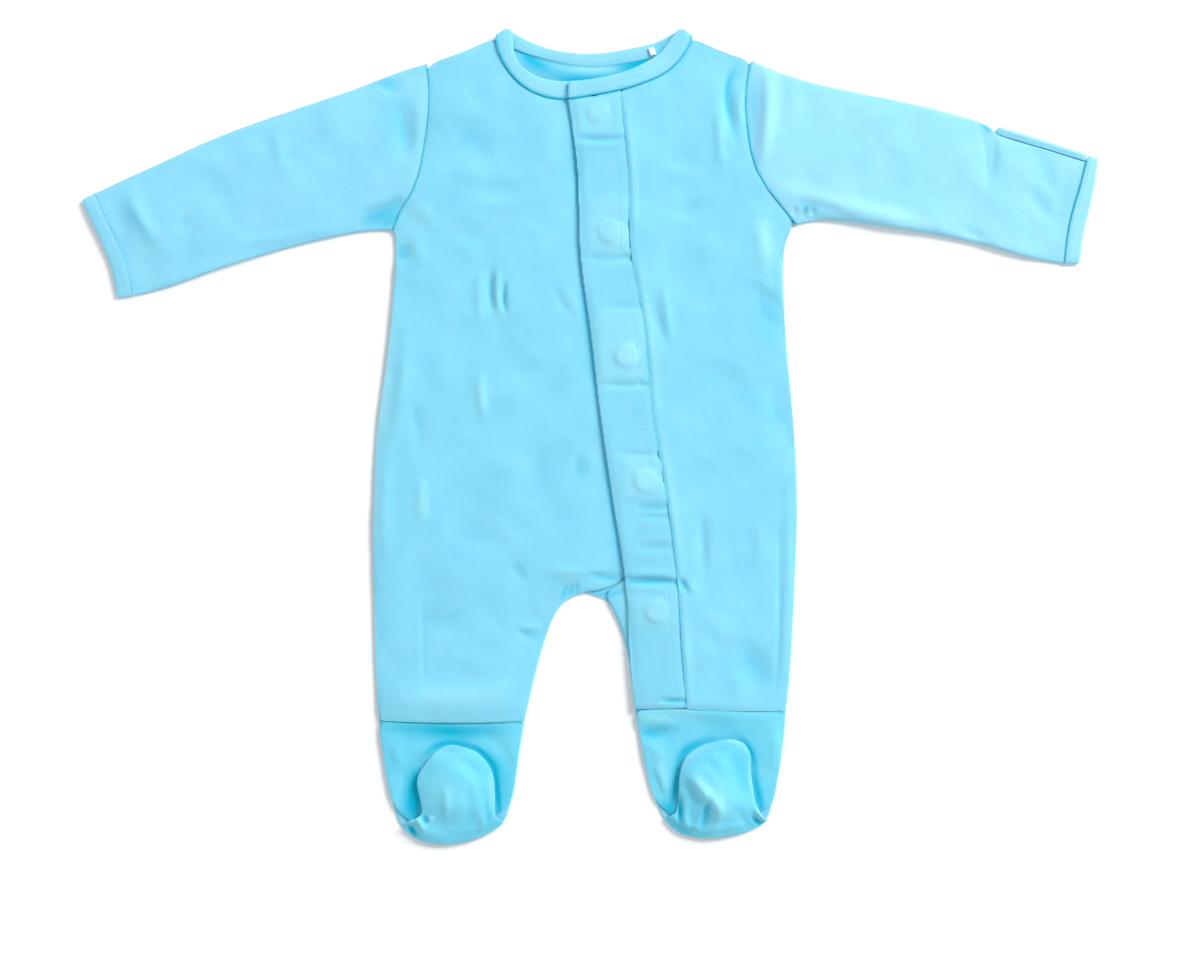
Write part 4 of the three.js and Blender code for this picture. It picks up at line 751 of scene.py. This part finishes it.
# ---- sleeves
rightSleeve = {
    "seams": {"front_right_panel": (0.24, 0.6), "cuff_binding_right": (0.33, 0.1)},
    "creases": [
        (-253, 135, -246.6, 121, -237, 106, 4.2, 1), (-262, 130, -258, 118, -252.6, 106, 3.6, -0.4),
        (-226, 122, -223, 117, -220, 111, 4.6, -0.5), (-211, 139, -204, 134, -196, 128, 7, -0.45),
        (-172, 169, -170.6, 158, -168.6, 144, 3, 0.6), (-183, 168, -180, 163, -178, 156, 6, -0.5),
        (-194, 106.6, -169, 109.6, -134, 118.4, 3.8, 0.6), (-128, 118, -114, 122.6, -101, 131, 4.6, -1.5),
        (-124, 127, -112, 129, -102, 135, 4, 0.7), (-118, 195, -110.6, 194, -104, 189, 4.5, -0.9),
        (-105, 184, -102, 168, -101.6, 150, 4.8, -0.8), (-94, 190, -94.6, 172, -96.6, 152, 3, 0.4),
        (-244, 79, -200, 92, -150, 105, 5, 0.6), (-150, 176, -142, 168, -136, 156, 7, 0.5),
        (-214, 152, -206, 150, -198, 146, 6, 0.4),
    ],
    # painted shade in the troughs and at the armpit
    "paintedShades": [
        (-128, 117.6, -114, 122.4, -101, 131, 4.4, 0.45), (-117, 116.4, -109, 118.4, -103, 123, 3, 0.55),
        (-120, 196, -110.6, 194, -103, 188, 4, 0.25), (-109, 188, -104.6, 170, -102, 152, 8, 0.22),
        (-256, 133, -249.5, 119, -240, 103, 3.4, 0.18), (-232, 124, -226, 116, -220, 108, 4, 0.12),
    ],
    "under": [
        (-240, 120, -225, 108, -214, 92, 5, 0.5), (-190, 150, -176, 132, -170, 110, 6, 0.5),
        (-140, 170, -128, 150, -122, 126, 6, 0.5), (-262, 120, -258, 108, -254, 92, 4, 0.4),
    ],
}
rightSleevePiece = clothFrom("sleeve_right", "right-sleeve", rightSleeveJersey, 3)
closeSeams(rightSleevePiece, rightSleeve["seams"])
drape(rightSleevePiece, rightSleeve, fixed=garment["underLayer"])
crumpleUnder(rightSleevePiece, rightSleeve["under"])

leftSleeve = {
    "seams": {
        "front_left_panel": (0.24, 0.8), "cuff_binding_left": (0.36, 0.6), "mitten_flap": (None, 0.3)},
    "creases": [
        (97.4, 203, 97, 174, 93.6, 148, 3.6, 1.6), (107, 200, 107, 184, 103, 166, 3.6, -0.5),
        (118.6, 194, 118.6, 184, 118, 170, 6.5, -0.5), (104, 132, 150, 121.5, 205, 108.5, 6, 1.3),
        (195, 110, 225, 103, 256, 95, 5, 0.6), (100, 144, 118, 141, 140, 139.4, 4, -0.3),
        (112, 129, 124, 127, 140, 122, 3, -0.9), (119, 126.4, 118, 123.6, 116.4, 120.6, 1.4, -1),
        (123.4, 126, 122.4, 123.6, 121.4, 121, 1.4, -0.9), (113.6, 126, 112.6, 123.6, 111.4, 121, 1.4, -0.7),
        (204, 112.6, 210.4, 111, 217, 108.6, 2.8, -0.6), (215, 170, 220, 157, 218, 140, 3.2, -1.1),
        (224, 164, 227, 154, 224, 140, 4.5, 0.4), (244.6, 161, 251.6, 144, 258.6, 122, 5, -0.6),
        (240.6, 138, 248, 127, 256, 116, 4.6, -0.9), (234, 150, 241, 140, 248, 130, 4, 0.4),
        (262, 148, 260, 130, 254, 106, 3.4, -0.5), (138, 181, 142, 177, 147, 172, 5.5, -0.45),
        (160, 170, 170, 160, 176, 146, 8, 0.4), (215, 172.6, 218, 169.6, 221.6, 167.4, 1.8, -1),
    ],
    # painted highlights on ridges
    "highlightsAndPale": [
        (98, 138, 150, 127, 222, 107, 3.8, 0.55), (101.6, 202, 101.4, 178, 98, 150, 2.6, 0.35),
    ],
    # painted shade in the troughs
    "paintedShades": [
        (90.5, 200, 89.8, 178, 90.6, 158, 2.4, 0.25), (112, 129, 120, 126.6, 130, 122, 2.4, 0.3),
        (119, 126.4, 118, 123.6, 116.4, 120.6, 1.4, 0.4), (214, 172.6, 218, 169.6, 222, 167, 1.6, 0.5),
        (271, 150, 267, 130, 260, 98, 2, 0.35),
    ],
    "under": [
        (236, 140, 228, 122, 226, 108, 5, 0.5), (180, 168, 172, 146, 170, 124, 6, 0.5),
        (130, 180, 124, 158, 126, 134, 6, 0.5), (256, 140, 252, 122, 248, 104, 4, 0.4),
    ],
}
leftSleevePiece = clothFrom("sleeve_left", "left-sleeve", litLeftSleeveJersey, 3)
closeSeams(leftSleevePiece, leftSleeve["seams"])
drape(leftSleevePiece, leftSleeve, fixed=garment["underLayer"])
crumpleUnder(leftSleevePiece, leftSleeve["under"])

cuff = {
    "slack": 0.5,
    "rightSeams": {"sleeve_right": (0.36, 0.1)},
    "leftSeams": {"sleeve_left": (0.36, 0.5), "mitten_flap": (None, 0.3)},
    "flapSeams": {"sleeve_left": (0.12, 0.2), "cuff_binding_left": (None, 0.2)},
}
rightCuff = clothFrom("cuff_binding_right", "right-cuff", rightSleeveJersey, 3)
leftCuff = clothFrom("cuff_binding_left", "left-cuff", litLeftSleeveJersey, 3)
flap = clothFrom("mitten_flap", "mitten-flap", litLeftSleeveJersey, 3)
for piece, seams in ((rightCuff, "rightSeams"), (leftCuff, "leftSeams"), (flap, "flapSeams")):
    closeSeams(piece, cuff[seams])
    drape(piece, cuff, fixed=garment["underLayer"])
print("neck and sleeves are draped")

# ---- feet
rightUpperFolds = {
    "seams": {"front_right_panel": (0.24, 0.6)},
    "creases": [
        (-106, -168, -105, -176, -103, -186, 4, 0.7), (-60, -163, -48, -172, -44, -190, 4, -0.7),
        (-96, -178, -100, -190, -102, -204, 3.4, -0.8),
    ],
    # painted shadow under the ankle seam and painted shade round the turned-up sole
    "paintedShades": [
        (-118, -166, -80, -178, -42, -166, 24, 0.12), (-126, -158.4, -98, -159.6, -70, -160.4, 4.4, 0.5),
        (-92, -160.4, -68, -161.4, -42, -160, 4.6, 0.5), (-104, -162, -76, -163, -50, -161, 5, 0.2),
        (-92, -176.6, -80.4, -168.6, -65, -170.8, 1.6, 1), (-70, -168.2, -58.4, -173.8, -51.6, -184, 1.7, 1),
        (-52.4, -180, -50.4, -197, -49, -216, 1.8, 1), (-58, -174, -48.6, -184, -45, -206, 5, 0.5),
        (-94, -180, -97, -196, -100.4, -214, 4.6, 1), (-94, -184, -95.4, -200, -95, -214, 2.4, 0.6),
    ],
}
rightSoleFolds = {
    "creases": [
        (-74, -172, -73, -192, -73, -214, 14, 1.5), (-78.9, -190, -78.4, -200, -79, -210, 2.4, 0.7),
        (-74, -177.4, -66, -180.6, -61, -187, 3.6, -0.9), (-70, -184, -64, -190, -62, -200, 4, 0.4),
        (-61, -193, -58, -196, -54.6, -199, 3, -0.5), (-66, -190, -66, -202, -66.4, -214, 3, -0.4),
        (-107, -211.8, -101, -210.6, -95.6, -209.6, 1.8, 1.5), (-97, -209.4, -93.4, -211, -91.6, -217, 1.6, 1.5),
        (-91.6, -216, -89, -212, -85.6, -207.6, 1.6, 1.2), (-99.6, -213.6, -97.4, -216, -95.6, -219.6, 1.8, -2.2),
        (-90.6, -208.4, -89.6, -210.6, -89, -212.6, 1.6, -1.4), (-60, -204, -59, -210, -59, -217, 2.4, 0.5),
        (-84, -216, -72, -218.6, -56, -215, 3, -0.4),
    ],
    # painted highlights on the sole's ridges
    "highlightsAndPale": [
        (-92, -182, -86, -174.6, -76, -170.4, 1.5, 0.25), (-55, -184, -54, -196, -54.6, -208, 1.5, 0.3),
        (-107, -211.8, -101, -210.6, -95.6, -209.6, 1.4, 0.3), (-97, -209.4, -93.4, -211, -91.6, -217, 1.4, 0.2),
        (-91.6, -216, -89, -212, -85.6, -207.6, 1.4, 0.2),
    ],
    # painted shade in the heel's pleats
    "paintedShades": [
        (-100.6, -212.6, -97.4, -216, -95, -220.6, 2, 0.7),
        (-91.4, -207.4, -90, -210.6, -89.4, -213.6, 1.6, 0.8), (-56.6, -196, -55.6, -204, -54.6, -212, 1.4, 0.5),
    ],
}
leftUpperFolds = {
    "seams": {"front_left_panel": (0.26, 0.2), "overlap_placket": (None, 0.2)},
    "creases": [
        (25, -155, 40, -156.6, 58, -159.4, 3.2, 0.5), (20, -150.4, 50, -150, 86, -153, 5, 0.85),
        (28, -162, 34, -162.4, 44, -162.4, 2.4, -1.2), (30, -168, 36, -172, 42, -180, 4, 0.7),
        (37.6, -178, 39.6, -188, 41.6, -198, 3, 0.7), (34, -184, 37, -194, 40.6, -204, 2.6, -0.7),
        (100, -156, 102, -170, 100, -186, 3.6, 0.6),
    ],
    # painted highlights on ridges
    "highlightsAndPale": [
        (38, -176, 39.4, -184, 41, -194, 2.6, 0.3), (24, -152.6, 40, -154, 62, -154.4, 2.4, 0.3),
    ],
    # painted shade under the ankle and round the turned-up sole
    "paintedShades": [
        (58, -156, 74, -160, 100, -158, 8, 0.2), (27, -161.6, 33, -162.6, 44, -162.4, 2.8, 0.6),
        (48, -186, 53, -172, 72, -165.8, 2.4, 1), (80, -164.6, 88.6, -173.4, 90.6, -190, 2, 1),
        (89.6, -184, 92.6, -196, 95.4, -210, 2.2, 1), (48.4, -180, 46.8, -193, 44.6, -209, 2.6, 1),
        (40, -198, 43, -207, 50, -216, 3.4, 0.7),
    ],
}
leftSoleFolds = {
    "creases": [
        (68, -172, 70, -192, 72, -212, 15, 1.5), (54, -184, 62, -194, 74, -208, 3.6, 1.8),
        (74, -173, 80, -186, 78, -200, 6, -1), (60, -176, 68, -181, 74, -190, 3.6, -0.7),
        (52.6, -189, 55.6, -196, 58.4, -202, 3, -0.9), (66, -196, 63.4, -206, 60.6, -216, 2.2, -1.6),
        (70, -196, 70.6, -206, 68, -216, 2.6, 0.8), (55, -214, 59.6, -212, 62.6, -204, 1.8, 1.2),
        (46, -199, 44.6, -205, 43.6, -209, 1.6, 1.4), (49, -197, 49.4, -204, 49.2, -212, 1.5, -1.6),
        (52.4, -200, 52, -208, 54, -216, 2, 0.8), (90, -203, 93.6, -207.4, 97.6, -211.6, 1.6, 1.2),
        (88.4, -208, 92.4, -211.4, 96, -214.6, 1.5, -1.4), (80, -204, 84, -210, 90, -215, 3, -0.6),
    ],
    # painted highlights on the sole's ridges
    "highlightsAndPale": [
        (50, -183, 55.6, -174.4, 68, -168.8, 1.5, 0.35), (72, -167, 79, -166.8, 87.6, -174, 1.6, 0.4),
        (88, -176, 88.6, -188, 91, -200, 1.5, 0.4), (90, -203, 93.6, -207.4, 97.6, -211.6, 1.4, 0.5),
        (46, -199, 44.6, -205, 43.6, -209, 1.4, 0.5), (57, -186, 66, -196, 74, -207, 3, 0.35),
    ],
    # painted shade in the sole's troughs
    "paintedShades": [
        (76, -174, 83, -184, 82, -196, 6, 0.3), (66, -197, 63.4, -206, 60.6, -216, 2, 0.55),
        (49.4, -197, 49.6, -205, 49.4, -213, 1.5, 0.8), (88.4, -208, 92.4, -211.4, 96, -214.6, 1.6, 0.7),
        (44, -211, 50, -215, 58, -218.4, 2.6, 0.3),
    ],
}
rightFootUpper = clothFrom("foot_upper_right", "right-foot-upper", shadedFootJersey, 3)
leftFootUpper = clothFrom("foot_upper_left", "left-foot-upper", shadedFootJersey, 3)
rightSole = clothFrom("sole_right", "right-sole", shadedFootJersey, 3)
leftSole = clothFrom("sole_left", "left-sole", shadedFootJersey, 3)
closeSeams(rightFootUpper, rightUpperFolds["seams"])
closeSeams(leftFootUpper, leftUpperFolds["seams"])
drape(rightFootUpper, rightUpperFolds)
drape(leftFootUpper, leftUpperFolds)
drape(rightSole, rightSoleFolds)
drape(leftSole, leftSoleFolds)
print("feet are draped")

# ---- stitches: one bead of thread, copied along each row and laid on the cloth
stitching = {
    "length": 1.5,
    "width": 0.42,  # the thread is 0.3 mm thick, drawn coarser so that it shows
    "height": 0.34,
    "pitch": 2.4,
    "reach": 0.7,  # to each side of a stitch's middle, where the cloth below it is felt for
    "steepest": 1.2,  # a stitch over a bigger step than this is left out
    "proud": 0.02,
    "lookAhead": 0.6,
    "above": 40,  # height over all the cloth
}
bpy.ops.object.select_all(action="DESELECT")
bpy.ops.mesh.primitive_uv_sphere_add(segments=6, ring_count=4, radius=0.5)
bead = bpy.context.active_object
bead.name = "stitchPattern"
bpy.ops.object.mode_set(mode="EDIT")
bpy.ops.mesh.select_all(action="SELECT")
bpy.ops.transform.rotate(value=math.radians(90), orient_axis="Y", center_override=(0, 0, 0))
bpy.ops.transform.resize(value=(stitching["length"] * mm, stitching["width"] * mm, stitching["height"] * mm))
bpy.ops.object.mode_set(mode="OBJECT")
bpy.ops.object.shade_smooth()


def alongPath(path, pitch, beside):
    # evenly spaced places on a path, each with its direction, moved to the left of it by beside
    path = np.array(path, float)
    steps = np.linalg.norm(np.diff(path, axis=0), axis=1)
    reached = np.concatenate([[0], np.cumsum(steps)])
    count = max(2, int(round(reached[-1] / pitch)))
    at = (np.arange(count) + 0.5) * reached[-1] / count

    def placeAt(distance):
        return np.stack([np.interp(distance, reached, path[:, axis]) for axis in (0, 1)], 1)

    heading = placeAt(at + stitching["lookAhead"]) - placeAt(at - stitching["lookAhead"])
    heading /= np.linalg.norm(heading, axis=1)[:, None]
    return placeAt(at) + beside * np.stack([-heading[:, 1], heading[:, 0]], 1), heading


def topOf(trees, x, y):
    hits = [tree.ray_cast(Vector((x, y, stitching["above"])), Vector((0, 0, -1)))[0] for tree in trees]
    heights = [hit.z for hit in hits if hit is not None]
    return max(heights) if heights else None


def sewRows(pieceName, cloths, rows, thread=paleThread):
    # rows: path, pitch, distance beside the path, turn of each stitch in degrees
    trees = [treeOf(cloth) for cloth in cloths]
    reach = stitching["reach"]
    copies = []
    for path, pitch, beside, turn in rows:
        middles, headings = alongPath(path, pitch, beside)
        for index, ((x, y), (dx, dy)) in enumerate(zip(middles, headings)):
            before = topOf(trees, x - reach * dx, y - reach * dy)
            after = topOf(trees, x + reach * dx, y + reach * dy)
            if before is None or after is None or abs(after - before) > stitching["steepest"]:
                continue
            angle = math.atan2(dy, dx) + math.radians(turn if index % 2 else -turn)
            rise = -math.atan2(after - before, 2 * reach)
            middle = Vector((x, y, (before + after) / 2 + stitching["proud"])) * mm
            copy = bpy.data.objects.new("stitch", bead.data.copy())
            scene.collection.objects.link(copy)
            turned = Matrix.Rotation(angle, 4, "Z") @ Matrix.Rotation(rise, 4, "Y")
            copy.matrix_world = Matrix.Translation(middle) @ turned
            copies.append(copy)
    bpy.ops.object.select_all(action="DESELECT")
    for copy in copies:
        copy.select_set(True)
    bpy.context.view_layer.objects.active = copies[0]
    bpy.ops.object.join()
    sewn = bpy.context.active_object
    sewn.name = pieceName
    bpy.ops.object.transform_apply(location=True, rotation=True, scale=True)
    sewn.data.materials.clear()
    sewn.data.materials.append(thread)
    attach(sewn, "root")


frontNeckMiddle = [
    (-45.6, 217), (-44.6, 208), (-41, 201), (-36, 196.4), (-29.6, 192), (-21.6, 189.4), (-12, 188.6), (-2, 189.6),
    (10, 192), (22, 195.2), (33.6, 200.4), (41.6, 206), (46.6, 212.6), (50.4, 218)]
backNeckLower = [
    (-42, 217.6), (-33.4, 212.6), (-20.6, 208.4), (-9, 206.2), (3, 205.4), (13.6, 206.4), (24.5, 208.2), (36, 211.4),
    (44, 215.2)]
rightHem = [(-270.9, 134), (-264.8, 119.6), (-257.7, 105.9), (-252.7, 91.6), (-250.2, 79)]
leftHem = [(275.6, 153.4), (272.6, 139.2), (268.8, 124.6), (265.8, 111.2), (263.8, 96)]
flySeam = [
    (17.2, 186), (21.4, 146), (22.6, 103), (30.2, 60), (35, 10), (43, -38), (48.6, -84), (50.6, -118), (53.2, -144)]
sewRows("neck-stitches", [rightNeckBinding, leftNeckBinding], [
    (frontNeckMiddle, 2.1, -1.4, 12), (frontNeckMiddle, 2.1, 1.8, 12)])
sewRows("back-neck-stitches", [backNeckBinding, backPanel], [
    (backNeckLower, 1.7, 1.0, 35), (backNeckLower, 2.1, 3.4, 0)])
sewRows("right-hem-stitches", [rightCuff, rightSleevePiece], [
    (rightHem, 2.2, -0.4, 8), (rightHem, 2.2, -3.6, 8)])
sewRows("left-hem-stitches", [leftCuff, leftSleevePiece], [
    (leftHem, 2.2, 0, 8), (leftHem, 2.2, 3.2, 8)])
sewRows("fly-stitches", [overlap, leftFrontPanel], [
    (flySeam, stitching["pitch"], 1.1, 0), (flySeam, stitching["pitch"], -5.0, 0)], seamThread)
sewRows("ankle-stitches", [overlap, leftFootUpper], [
    ([(26, -146.8), (36, -146.6), (50, -146.4)], 1.6, 0, 0)], paleThread)
bpy.data.objects.remove(bead)
print("stitches are sewn")

print("the scene is built")
